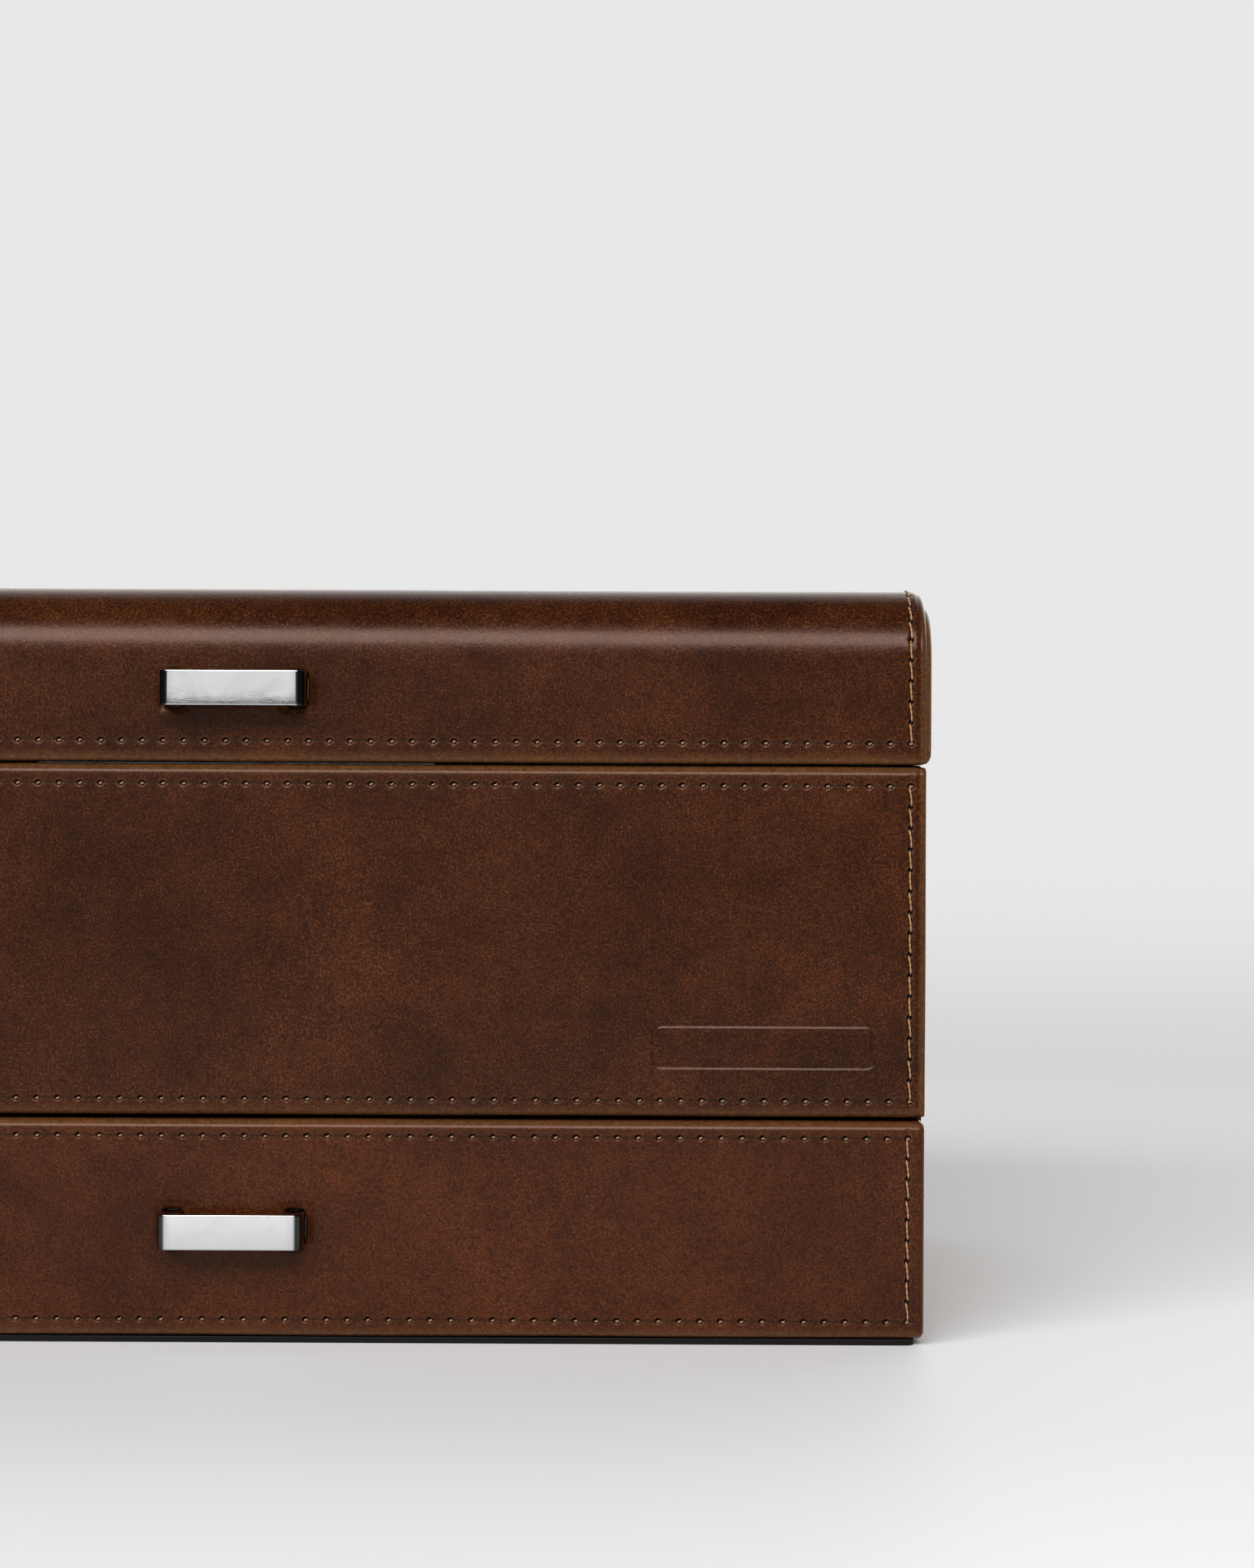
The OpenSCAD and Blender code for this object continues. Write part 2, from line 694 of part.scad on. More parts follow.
module drawer_cross_divider() color(suede)
    block([-drawer_column / 2 + divider_t / 2, (tray_y0 + tray_y1 - divider_t) / 2, tray_z],
          [drawer_column / 2 - divider_t / 2, (tray_y0 + tray_y1 + divider_t) / 2, tray_z + drawer_divider_h]);

// ---- Assembly ----

base_sheet();
base_board();
mirror([1, 0, 0]) side_board();  // side_board_left
side_board();  // side_board_right
back_board();
deck_board();
body_front_board();
body_front_skin();
mirror([1, 0, 0]) side_skin();  // side_skin_left
side_skin();  // side_skin_right
back_skin();
bay_trim();
keeper_plate();
liner_floor();
liner_front();
liner_back();
mirror([1, 0, 0]) liner_side();  // liner_left
liner_side();  // liner_right
long_divider();
cross_dividers();
pillow(0);  // pillow_1
pillow(1);  // pillow_2
pillow(2);  // pillow_3
pillow(3);  // pillow_4
ring_base();
ring_rolls();
drawer_runners();
drawer_stops();
mirror([1, 0, 0]) hinge_leaf_case();  // hinge_leaf_case_left
hinge_leaf_case();  // hinge_leaf_case_right
hinge_pins();
hinge_screws(-1);  // hinge_screws_case
lid_front_rail();
lid_back_rail();
mirror([1, 0, 0]) lid_side_board();  // lid_side_board_left
lid_side_board();  // lid_side_board_right
lid_top_board();
lid_skin();
mirror([1, 0, 0]) lid_side_skin();  // lid_side_skin_left
lid_side_skin();  // lid_side_skin_right
lid_frame_lining();
lid_pad();
pull(lid_handle_z);  // lid_handle
pull_screws(lid_handle_z, inner_y0);  // lid_handle_screws
lid_magnets();
mirror([1, 0, 0]) hinge_leaf_lid();  // hinge_leaf_lid_left
hinge_leaf_lid();  // hinge_leaf_lid_right
hinge_screws(1);  // hinge_screws_lid
drawer_front_board();
drawer_front_skin();
mirror([1, 0, 0]) drawer_side();  // drawer_side_left
drawer_side();  // drawer_side_right
drawer_back();
drawer_bottom();
drawer_liner();
drawer_dividers();
drawer_cross_divider();
pull(drawer_handle_z);  // drawer_handle
pull_screws(drawer_handle_z, drawer_back_face);  // drawer_handle_screws
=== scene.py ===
import math
import random

import bmesh
import bpy
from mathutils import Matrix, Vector, noise
from mathutils.bvhtree import BVHTree


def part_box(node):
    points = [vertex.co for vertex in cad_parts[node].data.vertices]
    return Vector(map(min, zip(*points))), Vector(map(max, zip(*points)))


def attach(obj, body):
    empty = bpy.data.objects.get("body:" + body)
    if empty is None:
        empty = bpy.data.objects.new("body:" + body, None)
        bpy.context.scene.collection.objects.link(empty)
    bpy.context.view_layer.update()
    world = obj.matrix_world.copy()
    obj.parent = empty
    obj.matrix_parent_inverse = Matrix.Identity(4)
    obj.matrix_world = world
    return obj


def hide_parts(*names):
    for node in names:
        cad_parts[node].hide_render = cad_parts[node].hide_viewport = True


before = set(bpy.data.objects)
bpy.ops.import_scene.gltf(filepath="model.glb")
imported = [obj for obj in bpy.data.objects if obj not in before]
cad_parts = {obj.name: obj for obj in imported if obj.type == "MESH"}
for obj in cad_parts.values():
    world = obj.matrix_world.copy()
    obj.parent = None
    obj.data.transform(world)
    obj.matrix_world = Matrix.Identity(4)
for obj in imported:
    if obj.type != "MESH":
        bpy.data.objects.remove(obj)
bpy.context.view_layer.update()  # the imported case: its bodies, nodes, joints and record

bl_info = {
    "name": "Leather jewellery case",
    "version": (1, 0, 0),
    "blender": (4, 5, 0),
    "location": "3D View > Sidebar > Jewellery Case",
    "description": "Dresses the packed case in stitched leather, suede, wood and polished metal",
    "category": "Object",
}

MM = 0.001
SIDES = ("left", "right")
CLEAR = 0.2 * MM       # room between leather and the parts beside it
DOUBLED = 0.01 * MM    # points this close are one point
SEARCH_STEPS = 4000    # parts that a search along a section is done in
SHARP = 40             # degrees between faces that still look rounded


def low(node):
    """The lowest corner of a CAD node."""
    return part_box(node)[0]


def high(node):
    """The highest corner of a CAD node."""
    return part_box(node)[1]


# Levels and faces that several pieces share, from the frame.
FRONT = low("lid_skin").y
BACK = high("lid_skin").y
HALF = high("lid_skin").x
LEATHER_T = low("base_board").z


# ---- Settings ----


def colour_setting(name, description, default):
    """A colour that can be changed."""
    return bpy.props.FloatVectorProperty(name=name, description=description, subtype="COLOR", default=default)


def length_setting(name, description, default):
    """A size that can be changed."""
    return bpy.props.FloatProperty(name=name, description=description, subtype="DISTANCE", default=default)


class LeatherSettings(bpy.types.PropertyGroup):
    """The leather covers and their stitching."""

    body_colour: colour_setting("Leather", "Colour of the leather's darker areas", (0.0085, 0.0014, 0.0004))
    worn_colour: colour_setting(
        "Lighter leather", "Colour of the leather's lighter areas", (0.0400, 0.0085, 0.0017))
    fleck_colour: colour_setting(
        "Flecks", "Colour of the fine flecks in the finish", (0.105, 0.034, 0.0090))
    rub_colour: colour_setting(
        "Rubbed leather", "Colour of the leather where its edges are rubbed", (0.150, 0.066, 0.024))
    edge_colour: colour_setting("Cut edge", "Colour of the leather's cut edges", (0.42, 0.28, 0.18))
    end_colour: colour_setting("End panels", "Colour of the padded end panels", (0.135, 0.056, 0.018))
    thread_colour: colour_setting("Thread", "Colour of the waxed thread", (0.50, 0.27, 0.11))
    pitch: length_setting("Stitch length", "Distance from one stitch hole to the next", 4.5 * MM)
    thread: length_setting("Thread thickness", "Thickness of one strand of the thread", 0.23 * MM)
    edge_round: length_setting("Edge rounding", "Radius of the covers' turned edges", 2.2 * MM)
    lid_edge_round: length_setting("Lid edge rounding", "Radius of the lid's lower edges", 1.2 * MM)
    turned_round: length_setting(
        "Drawer end rounding", "Radius of the drawer cover's turned ends", 1.3 * MM)
    lid_roll: length_setting("Lid's front roll", "Radius of the lid's front edge", 15 * MM)
    lid_back_roll: length_setting("Lid's back roll", "Radius of the lid's back edge", 8 * MM)
    end_inset: length_setting(
        "Lid end inset", "How far the lid's padded ends lie inside its wrap", 3.6 * MM)
    rim_swell: length_setting("Rim swell", "How far the padded ends swell up towards the lid", 0.42 * MM)
    column_in: length_setting("Stitch margin", "From a cover's end to its column of stitches", 3.4 * MM)
    frame_width: length_setting("Tooled frame width", "Width of the blind-tooled frame", 47.7 * MM)
    frame_height: length_setting("Tooled frame height", "Height of the blind-tooled frame", 9 * MM)
    frame_across: length_setting(
        "Tooled frame place", "Middle of the tooled frame, to the right of the case's middle", 115 * MM)
    frame_up: length_setting("Tooled frame level", "Middle of the tooled frame above the floor", 65 * MM)
    leg: length_setting("Pull leg", "Width of the pulls' legs", 4.6 * MM)
    leg_margin: length_setting("Leg margin", "Room around each leg in the leather", 0.12 * MM)
    grain: length_setting("Grain", "Size of the leather's pebbles", 0.75 * MM)
    seed: bpy.props.IntProperty(
        name="Seed", description="Seed of the stitches' small differences",
        default=7)


class LiningSettings(bpy.types.PropertyGroup):
    """The suede lining, pillows and ring rolls."""

    suede_colour: colour_setting("Suede", "Colour of the lining", (0.43, 0.33, 0.235))
    pillow_pressure: bpy.props.FloatProperty(
        name="Pillow pressure", description="How hard the pillows are stuffed",
        default=4.0)
    pillow_swell: length_setting("Pillow swell", "Most that stuffing may move a point of a pillow", 5 * MM)
    piping: length_setting("Piping", "Thickness of the piping on the pillows", 1.8 * MM)
    rolls: bpy.props.IntProperty(name="Ring rolls", description="Number of ring rolls", default=6)


class FittingSettings(bpy.types.PropertyGroup):
    """The pulls, the hinges and the wooden boards."""

    chrome_colour: colour_setting("Polished metal", "Colour of the pulls", (0.67, 0.68, 0.69))
    wood_colour: colour_setting("Wood", "Colour of the drawer's wood", (0.26, 0.125, 0.055))
    pull_round: length_setting("Pull edge", "Radius of the pulls' edges", 0.3 * MM)
    pull_corner: length_setting("Pull corner", "Radius of the pulls' outer corners", 1.9 * MM)
    pull_bar: length_setting("Pull bar", "Thickness of the pulls' bars", 2.4 * MM)
    pull_crown: length_setting("Pull crown", "How far the pulls' faces swell", 0.06 * MM)


class StageSettings(bpy.types.PropertyGroup):
    """The floor, the lights and the camera."""

    floor_colour: colour_setting("Floor", "Colour of the floor", (0.80, 0.80, 0.80))
    backdrop_colour: colour_setting("Backdrop", "Colour behind the case", (0.80, 0.805, 0.80))
    key_power: bpy.props.FloatProperty(
        name="Softbox", description="Power of the large softbox in front",
        subtype="POWER", default=84.0)
    key_distance: length_setting("Softbox distance", "From the softbox to the case", 2.3)
    key_height: bpy.props.FloatProperty(
        name="Softbox height", description="How high the softbox stands, in degrees",
        default=36.0)
    camera_across: length_setting(
        "Camera across", "Camera's place to the right of the case's middle", 0.085)
    camera_up: length_setting("Camera height", "Camera's height above the floor", 0.1218)
    camera_roll: bpy.props.FloatProperty(
        name="Camera roll", description="The camera's turn about its own view",
        subtype="ANGLE", default=math.radians(-0.28))
    lens: bpy.props.FloatProperty(name="Lens", description="Focal length, in millimetres", default=80.4)
    distance: length_setting("Camera distance", "From the camera to the case's front", 0.76)


SETTINGS = {
    "case_leather": LeatherSettings,
    "case_lining": LiningSettings,
    "case_fittings": FittingSettings,
    "case_stage": StageSettings,
}


# ---- Meshes ----


def new_object(name, mesh, materials=()):
    """A new object on the origin, with its materials."""
    obj = bpy.data.objects.new(name, mesh)
    bpy.context.scene.collection.objects.link(obj)
    for material in materials:
        obj.data.materials.append(material)
    return obj


def poured(name, bm, materials=()):
    """A new object with a bmesh's shape."""
    mesh = bpy.data.meshes.new(name)
    bm.to_mesh(mesh)
    bm.free()
    return new_object(name, mesh, materials)


def finished(obj):
    """Turns an object and its modifiers into a plain mesh."""
    bpy.context.view_layer.update()
    graph = bpy.context.evaluated_depsgraph_get()
    mesh = bpy.data.meshes.new_from_object(obj.evaluated_get(graph), depsgraph=graph)
    obj.modifiers.clear()
    obj.data = mesh
    return obj


def smooth(obj, angle=None):
    """Smooth shading, with edges over the angle kept sharp."""
    mesh = obj.data
    mesh.shade_smooth()
    if angle is not None:
        mesh.set_sharp_from_angle(angle=math.radians(angle))
    return obj


def tidy_copy(node):
    """A bmesh of a CAD node, as clean flat faces."""
    bm = bmesh.new()
    bm.from_mesh(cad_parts[node].data)
    bmesh.ops.remove_doubles(bm, verts=bm.verts, dist=DOUBLED)
    bmesh.ops.dissolve_limit(bm, angle_limit=math.radians(1), verts=bm.verts, edges=bm.edges)
    bmesh.ops.recalc_face_normals(bm, faces=bm.faces)
    return bm


def softened(name, node, finish, radius, body):
    """A piece with a CAD node's shape and softly rounded edges, which stands for that node."""
    obj = poured(name, tidy_copy(node), [FINISH[finish]])
    bevel = obj.modifiers.new("Soft edges", "BEVEL")
    bevel.width = radius
    bevel.segments = 3
    bevel.limit_method = "ANGLE"
    bevel.angle_limit = math.radians(30)
    bevel.use_clamp_overlap = True
    finished(obj)
    smooth(obj, SHARP)
    belong(obj, body, [node])


def belong(obj, body, nodes=()):
    """The piece rides on its body and stands for CAD nodes."""
    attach(obj, body)
    if nodes:
        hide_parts(*nodes)
    return obj


def spread(start, end, step):
    """Even values from start to end, at most a step apart."""
    count = max(1, math.ceil((end - start) / step - 1e-6))
    return [start + (end - start) * i / count for i in range(count + 1)]


def added(lines, more, gap):
    """The lines, and those of more that keep a gap from every line, in order."""
    kept = sorted(lines)
    for value in more:
        if all(abs(value - line) > gap for line in kept):
            kept.append(value)
    return sorted(kept)


def bell(distance, width):
    """1 in the middle, falling away smoothly over the width."""
    return math.exp(-((distance / width) ** 2))


# ---- Leather covers ----


class Section:
    """A cover's section: straight runs that turn clockwise, with rounded corners.

    Its left is the good side.
    """

    def __init__(self, corners, radii):
        self.runs = []
        self.length = 0.0
        points = [Vector(c) for c in corners]
        start = points[0]
        for k in range(1, len(points)):
            along = (points[k] - points[k - 1]).normalized()
            if k == len(points) - 1:
                self._add((points[k] - start).length, start, along, 0.0, along)
                return
            radius = radii[k - 1]
            onward = (points[k + 1] - points[k]).normalized()
            end = points[k] - along * radius
            self._add((end - start).length, start, along, 0.0, along)
            self._add(radius * math.pi / 2, end + onward * radius, along, radius, onward)
            start = points[k] + onward * radius

    def _add(self, length, origin, along, radius, onward):
        self.runs.append((self.length, length, origin, along, radius, onward))
        self.length += length

    def at(self, v, depth=0.0):
        """The point at a length v along the section, at a depth below its surface, and the way out there."""
        for start, length, origin, along, radius, onward in self.runs:
            if v <= start + length + 1e-9:
                break
        if radius:
            turn = (v - start) / radius
            out = along * math.sin(turn) - onward * math.cos(turn)
            return origin + out * (radius - depth), out
        out = Vector((-along.y, along.x))
        return origin + along * (v - start) - out * depth, out

    def lines(self, flat_step, turn_step):
        """Values of v for a net: wide apart on straight runs and close together on rounded corners."""
        values = []
        for start, length, _, _, radius, _ in self.runs:
            step = radius * turn_step if radius else flat_step
            values += spread(start, start + length, step)
        return values

    def ring(self, flat_step, turn_step):
        """The section's points, for a section that closes."""
        points = [self.at(v)[0] for v in self.lines(flat_step, turn_step)]
        return [p for k, p in enumerate(points) if (p - points[k - 1]).length > DOUBLED]

    def reaches(self, axis, value, last=False):
        """The first or last length at which the section reaches a value of coordinate 0 or 1."""
        way = -1 if last else 1
        for k in range(SEARCH_STEPS, 0, -1) if last else range(SEARCH_STEPS):
            a, b = (self.at(self.length * (k + way * j) / SEARCH_STEPS)[0][axis] - value for j in (0, 1))
            if a * b <= 0 and a != b:
                return self.length * (k + way * a / (a - b)) / SEARCH_STEPS
        raise ValueError("the section never gets there")


class Stitching:
    """Rows across a cover and columns along its section, with the leather drawn in at each hole."""

    CLOSE = (0, 0.22, 0.45, 0.75, 1.2, 1.9)  # distances of the net's lines from a stitch, in mm
    ROW_HOLE = (0.60, 0.44, 0.70)            # half length, half width and depth of a hole, in mm
    COLUMN_HOLE = (0.52, 0.46, 0.55)
    NEAR = 3 * MM                            # beyond this a row doesn't move the leather

    def __init__(self, cross, rows, columns, column_range, pitch):
        self.cross = cross
        self.rows = rows
        self.columns = columns
        self.column_range = column_range
        self.row_pitch = 2 * cross / round(2 * cross / pitch)
        span = column_range[1] - column_range[0]
        self.column_pitch = span / round(span / pitch)
        self.reach = self.CLOSE[-1] * MM

    def holes(self, start, end, pitch):
        return [start + pitch * k for k in range(round((end - start) / pitch) + 1)]

    def row_holes(self):
        return self.holes(-self.cross, self.cross, self.row_pitch)

    def column_holes(self):
        return self.holes(*self.column_range, self.column_pitch)

    def near(self, values):
        """Net lines that close in on each value."""
        return [v + side * c * MM for v in values for c in self.CLOSE for side in (-1, 1)]

    def pull(self, u, v):
        """How far the stitches draw the leather in, and (fibre rim, painted shade in the holes and along the
        stitches) for its colour.
        """
        depth, rim, hole = 0.0, 0.0, 0.0
        for row in self.rows:
            if abs(v - row) < self.NEAR and abs(u) < self.cross + 2 * MM:
                deep, pale, dark = self._stitch(u + self.cross, v - row, self.row_pitch, *self.ROW_HOLE)
                depth, rim, hole = depth + deep, max(rim, pale), max(hole, dark)
                depth += 0.04 * MM * bell(v - row, 0.16 * MM)
                # Painted shade: a thin dark line along the row between the holes.
                hole = max(hole, 0.8 * bell(v - row, 0.15 * MM))
        for column in self.columns:
            start, end = self.column_range
            if abs(u - column) < self.NEAR and start - 2 * MM < v < end + 2 * MM:
                deep, pale, dark = self._stitch(v - start, u - column, self.column_pitch, *self.COLUMN_HOLE)
                depth, rim, hole = depth + deep, max(rim, pale), max(hole, dark)
                depth += 0.16 * MM * bell(u - column, 0.35 * MM)
                # Painted shade: a faint dark line along the column.
                hole = max(hole, 0.35 * bell(u - column, 0.3 * MM))
        return depth, rim, hole

    @staticmethod
    def _stitch(along, across, pitch, half_long, half_wide, deep):
        """The hole and its pucker at a point measured from the first hole of a row, with the fibre rim and
        the hole's painted shade.
        """
        past = along - pitch * round(along / pitch)
        ring = (past / (half_long * MM)) ** 2 + (across / (half_wide * MM)) ** 2
        dip = deep * MM * math.exp(-ring * ring)
        pucker = 0.05 * MM * bell(across, 1.2 * MM) * (0.55 + 0.45 * math.cos(2 * math.pi * past / pitch))
        rim = 0.45 * math.exp(-((math.sqrt(ring) - 1.65) ** 2) / 0.12)
        return dip + pucker, rim, min(1.0, 1.6 * math.exp(-ring * ring * 0.42))


class Cover:
    """A leather cover on a net of u, along the piece, and v, along its section, finer at stitches."""

    FINE = 0.09 * MM          # least distance between lines at a stitch
    LINE_GAP = 0.1 * MM       # least distance between the net's own lines
    LEG_STEP = 1.2 * MM       # distance between lines at a pull's leg
    # How a leg's hole is drawn in: the share of the way to its edge, and the depth in mm.
    LEG_RINGS = ((0.35, 0.05), (0.6, 0.16), (0.8, 0.36), (0.92, 0.62), (1.0, 1.0), (1.0, 2.3))
    LEG_SQUARE = 0.45         # below 1 the hole's corners are squarer than an ellipse

    def __init__(self, section, reach, place, stitching=None, turned=0.0):
        self.section = section
        self.reach = reach                # (least u, greatest u)
        self.place = place                # from u and a point of the section to a point in space
        self.stitching = stitching
        self.turned = turned              # radius of the turned ends, or 0 for cut ends
        self.sink = []                    # functions of (u, v, out) that give a depth
        self.must_u, self.must_v = list(reach), [0.0, section.length]
        self.cuts, self.holes, self.patches = [], [], []
        self.rubbed = [start + length / 2 for start, length, _, _, radius, _ in section.runs
                       if 0 < radius < 3 * MM]
        self.bm = bmesh.new()
        self.shade = self.bm.verts.layers.float_color.new("shade")
        self.made = {}

    def cut(self, u0, u1, v0, v1):
        """Leaves a rectangle of the cover out."""
        self.cuts.append((u0, u1, v0, v1))
        self.must_u += [u for u in (u0, u1) if self.reach[0] < u < self.reach[1]]
        self.must_v += [v for v in (v0, v1) if 0 < v < self.section.length]

    def hole(self, u, v, half_w, half_h, margin):
        """A rounded hole for the leg of a pull, with the leather pressed in around it."""
        self.holes.append((u, v, half_w, half_h, margin))
        self.must_u += spread(u - half_w - margin, u + half_w + margin, self.LEG_STEP)
        self.must_v += spread(v - half_h - margin, v + half_h + margin, self.LEG_STEP)

    def patch(self, u0, u1, v0, v1, step):
        """Makes the net fine in a rectangle."""
        self.patches.append((u0, u1, v0, v1, step))
        self.must_u += [u0, u1]
        self.must_v += [v0, v1]

    def vert(self, u, v, extra=0.0):
        """The net's point at u and v, sunk by its stitches and an extra depth."""
        key = (round(u * 1e7), round(v * 1e7), round(extra * 1e7))
        if key not in self.made:
            depth, rim, hole = self.stitching.pull(u, v) if self.stitching else (0.0, 0.0, 0.0)
            out = self.section.at(v)[1]
            depth += extra + sum(sink(u, v, out) for sink in self.sink)
            side = u
            over = abs(u) - (self.reach[1] - self.turned * math.pi / 2)
            if self.turned and over > 0:
                turn = over / self.turned
                side = math.copysign(abs(u) - over + self.turned * math.sin(turn), u)
                depth += self.turned * (1 - math.cos(turn))
            point = self.section.at(v, depth)[0]
            vertex = self.bm.verts.new(self.place(side, point))
            worn = min(1.0, rim + self.wear(u, v))
            # The shade's second channel is painted shade in the stitch holes and along the stitches.
            vertex[self.shade] = (worn, min(1.0, hole), 0.0, 1.0)
            self.made[key] = vertex
        return self.made[key]

    def wear(self, u, v):
        """The leather is lighter where its edges are rubbed."""
        ends = min(u - self.reach[0], self.reach[1] - u)
        rub = bell(max(ends, 0.0), 1.0 * MM)
        for line in self.rubbed:
            rub = max(rub, 0.8 * bell(v - line, 1.2 * MM))
        return rub

    def face(self, verts):
        """A face over the points that differ."""
        ring = [v for k, v in enumerate(verts) if v is not verts[k - 1]]
        if len(set(ring)) == len(ring) and len(ring) > 2:
            self.bm.faces.new(ring)

    def build(self, flat_step=9 * MM, turn_step=math.radians(9), u_step=9 * MM, end_lines=()):
        """Makes the net, with lines at these distances from the piece's two ends."""
        stitching = self.stitching
        close_u, close_v = [], []
        if stitching:
            close_u = stitching.near(stitching.columns)
            close_v = stitching.near(stitching.rows)
        ends = [u for d in end_lines for u in (self.reach[0] + d, self.reach[1] - d)]
        us = added(added(self.must_u, close_u + ends, self.LINE_GAP), spread(*self.reach, u_step), 0.8 * MM)
        tall = self.section.lines(flat_step, turn_step)
        vs = added(added(self.must_v, close_v, self.LINE_GAP), tall, 0.15 * MM)
        self.us, self.vs = us, vs
        cells = {}
        for i in range(len(us) - 1):
            for j in range(len(vs) - 1):
                mid_u, mid_v = (us[i] + us[i + 1]) / 2, (vs[j] + vs[j + 1]) / 2
                if not self.left_out(mid_u, mid_v):
                    cells[i, j] = self._finer(i, j, mid_u, mid_v)
        across, along = {}, {}
        for (i, j), (fine_u, fine_v) in cells.items():
            for line in (j, j + 1):
                across.setdefault((i, line), set()).update(fine_u)
            for line in (i, i + 1):
                along.setdefault((line, j), set()).update(fine_v)
        for (i, j), (fine_u, fine_v) in cells.items():
            self._fill(i, j, fine_u, fine_v, across, along)
        for hole in self.holes:
            self._ring(hole)
        if self.turned:
            self._close_ends(along)
        return self.bm

    def left_out(self, u, v):
        """Whether a cut or a pull's leg takes this point away."""
        boxes = [(h[0] - h[2] - h[4], h[0] + h[2] + h[4], h[1] - h[3] - h[4], h[1] + h[3] + h[4])
                 for h in self.holes]
        return any(b[0] < u < b[1] and b[2] < v < b[3] for b in self.cuts + boxes)

    def _finer(self, i, j, u, v):
        """Extra values of u and of v inside a cell."""
        fine_u, fine_v = set(), set()
        stitching = self.stitching
        if stitching:
            if any(abs(v - row) < stitching.reach for row in stitching.rows):
                fine_u.update(stitching.near(stitching.row_holes()))
            if any(abs(u - c) < stitching.reach for c in stitching.columns):
                fine_v.update(stitching.near(stitching.column_holes()))
        for u0, u1, v0, v1, step in self.patches:
            if u0 < u < u1 and v0 < v < v1:
                fine_u.update(spread(u0, u1, step))
                fine_v.update(spread(v0, v1, step))
        return (self._apart(fine_u, self.us[i], self.us[i + 1]),
                self._apart(fine_v, self.vs[j], self.vs[j + 1]))

    def _apart(self, values, start, end):
        """The values inside a range that keep their distance from each other."""
        kept = []
        for value in sorted(values):
            inside = start + self.FINE < value < end - self.FINE
            if inside and (not kept or value - kept[-1] > self.FINE):
                kept.append(value)
        return kept

    def _fill(self, i, j, fine_u, fine_v, across, along):
        """The faces of one cell, which share every point on their edges with the next cells."""
        cols = [self.us[i], *fine_u, self.us[i + 1]]
        lines = [self.vs[j], *fine_v, self.vs[j + 1]]

        def run(points, a, b):
            return [a] + sorted(p for p in points if a < p < b) + [b]

        for a, b in zip(cols, cols[1:]):
            for c, d in zip(lines, lines[1:]):
                bottom = run(across[i, j], a, b) if c == lines[0] else [a, b]
                top = run(across[i, j + 1], a, b) if d == lines[-1] else [a, b]
                left = run(along[i, j], c, d) if a == cols[0] else [c, d]
                right = run(along[i + 1, j], c, d) if b == cols[-1] else [c, d]
                self.face([self.vert(u, c) for u in bottom[:-1]]
                          + [self.vert(b, v) for v in right[:-1]]
                          + [self.vert(u, d) for u in reversed(top[1:])]
                          + [self.vert(a, v) for v in reversed(left[1:])])

    def _ring(self, hole):
        """Draws the leather in from a rectangle of the net to the hole's rounded edge, with painted shade on
        the deeper rings.
        """
        u, v, half_w, half_h, margin = hole
        wide, tall = half_w + margin, half_h + margin
        us = [x for x in self.us if u - wide - 1e-7 < x < u + wide + 1e-7]
        vs = [x for x in self.vs if v - tall - 1e-7 < x < v + tall + 1e-7]
        rim = ([(x, vs[0]) for x in us[:-1]] + [(us[-1], y) for y in vs[:-1]]
               + [(x, vs[-1]) for x in reversed(us[1:])] + [(us[0], y) for y in reversed(vs[1:])])
        rings = [[self.vert(*p) for p in rim]]
        for share, deep in self.LEG_RINGS:
            # dark is painted shade on the hole's wall, deeper than half a millimetre.
            worn, dark = 0.4 * bell(share - 0.8, 0.2), min(1.0, 1.4 * max(0.0, deep - 0.5))
            ring = []
            for x, y in rim:
                turn = math.atan2((y - v) / tall, (x - u) / wide)
                edge_u = u + half_w * math.copysign(abs(math.cos(turn)) ** self.LEG_SQUARE, math.cos(turn))
                edge_v = v + half_h * math.copysign(abs(math.sin(turn)) ** self.LEG_SQUARE, math.sin(turn))
                vertex = self.vert(x + (edge_u - x) * share, y + (edge_v - y) * share, deep * MM)
                vertex[self.shade] = (worn, dark, 0.0, 1.0)
                ring.append(vertex)
            rings.append(ring)
        for outer, inner in zip(rings, rings[1:]):
            for k in range(len(outer)):
                self.face([outer[k - 1], outer[k], inner[k], inner[k - 1]])

    def _close_ends(self, along):
        """A face over each turned end."""
        for line in (0, len(self.us) - 1):
            values = set(self.vs)
            for j in range(len(self.vs) - 1):
                values |= along.get((line, j), set())
            ring = [self.vert(self.us[line], v) for v in sorted(values)]
            if line:
                ring.reverse()
            self.face(ring)


def leather_piece(name, cover, materials, thickness, hems=True):
    """A cover's net, given the leather's thickness.

    Its cut edges take the second material, apart from the rims of the legs' holes, which keep the leather
    with its painted shade.
    """
    bmesh.ops.remove_doubles(cover.bm, verts=cover.bm.verts, dist=DOUBLED / 2)
    obj = poured(name, cover.bm, materials)
    solid = obj.modifiers.new("Thickness", "SOLIDIFY")
    solid.thickness = thickness
    solid.offset = -1
    solid.material_offset_rim = 1 if len(materials) > 1 and hems else 0
    finished(obj)
    shade = obj.data.attributes["shade"].data
    # Faces whose points all carry painted shade keep the leather, so the legs' holes look dark.
    for face in obj.data.polygons:
        if face.material_index and all(shade[v].color[1] > 0.5 for v in face.vertices):
            face.material_index = 0
    smooth(obj, 50)
    return obj


def undulation(amount, size, seed):
    """A depth that wanders gently over a cover."""
    def sink(u, v, out):
        return amount * noise.noise(Vector((u / size, v / size, seed)))
    return sink


# ---- Finishes ----


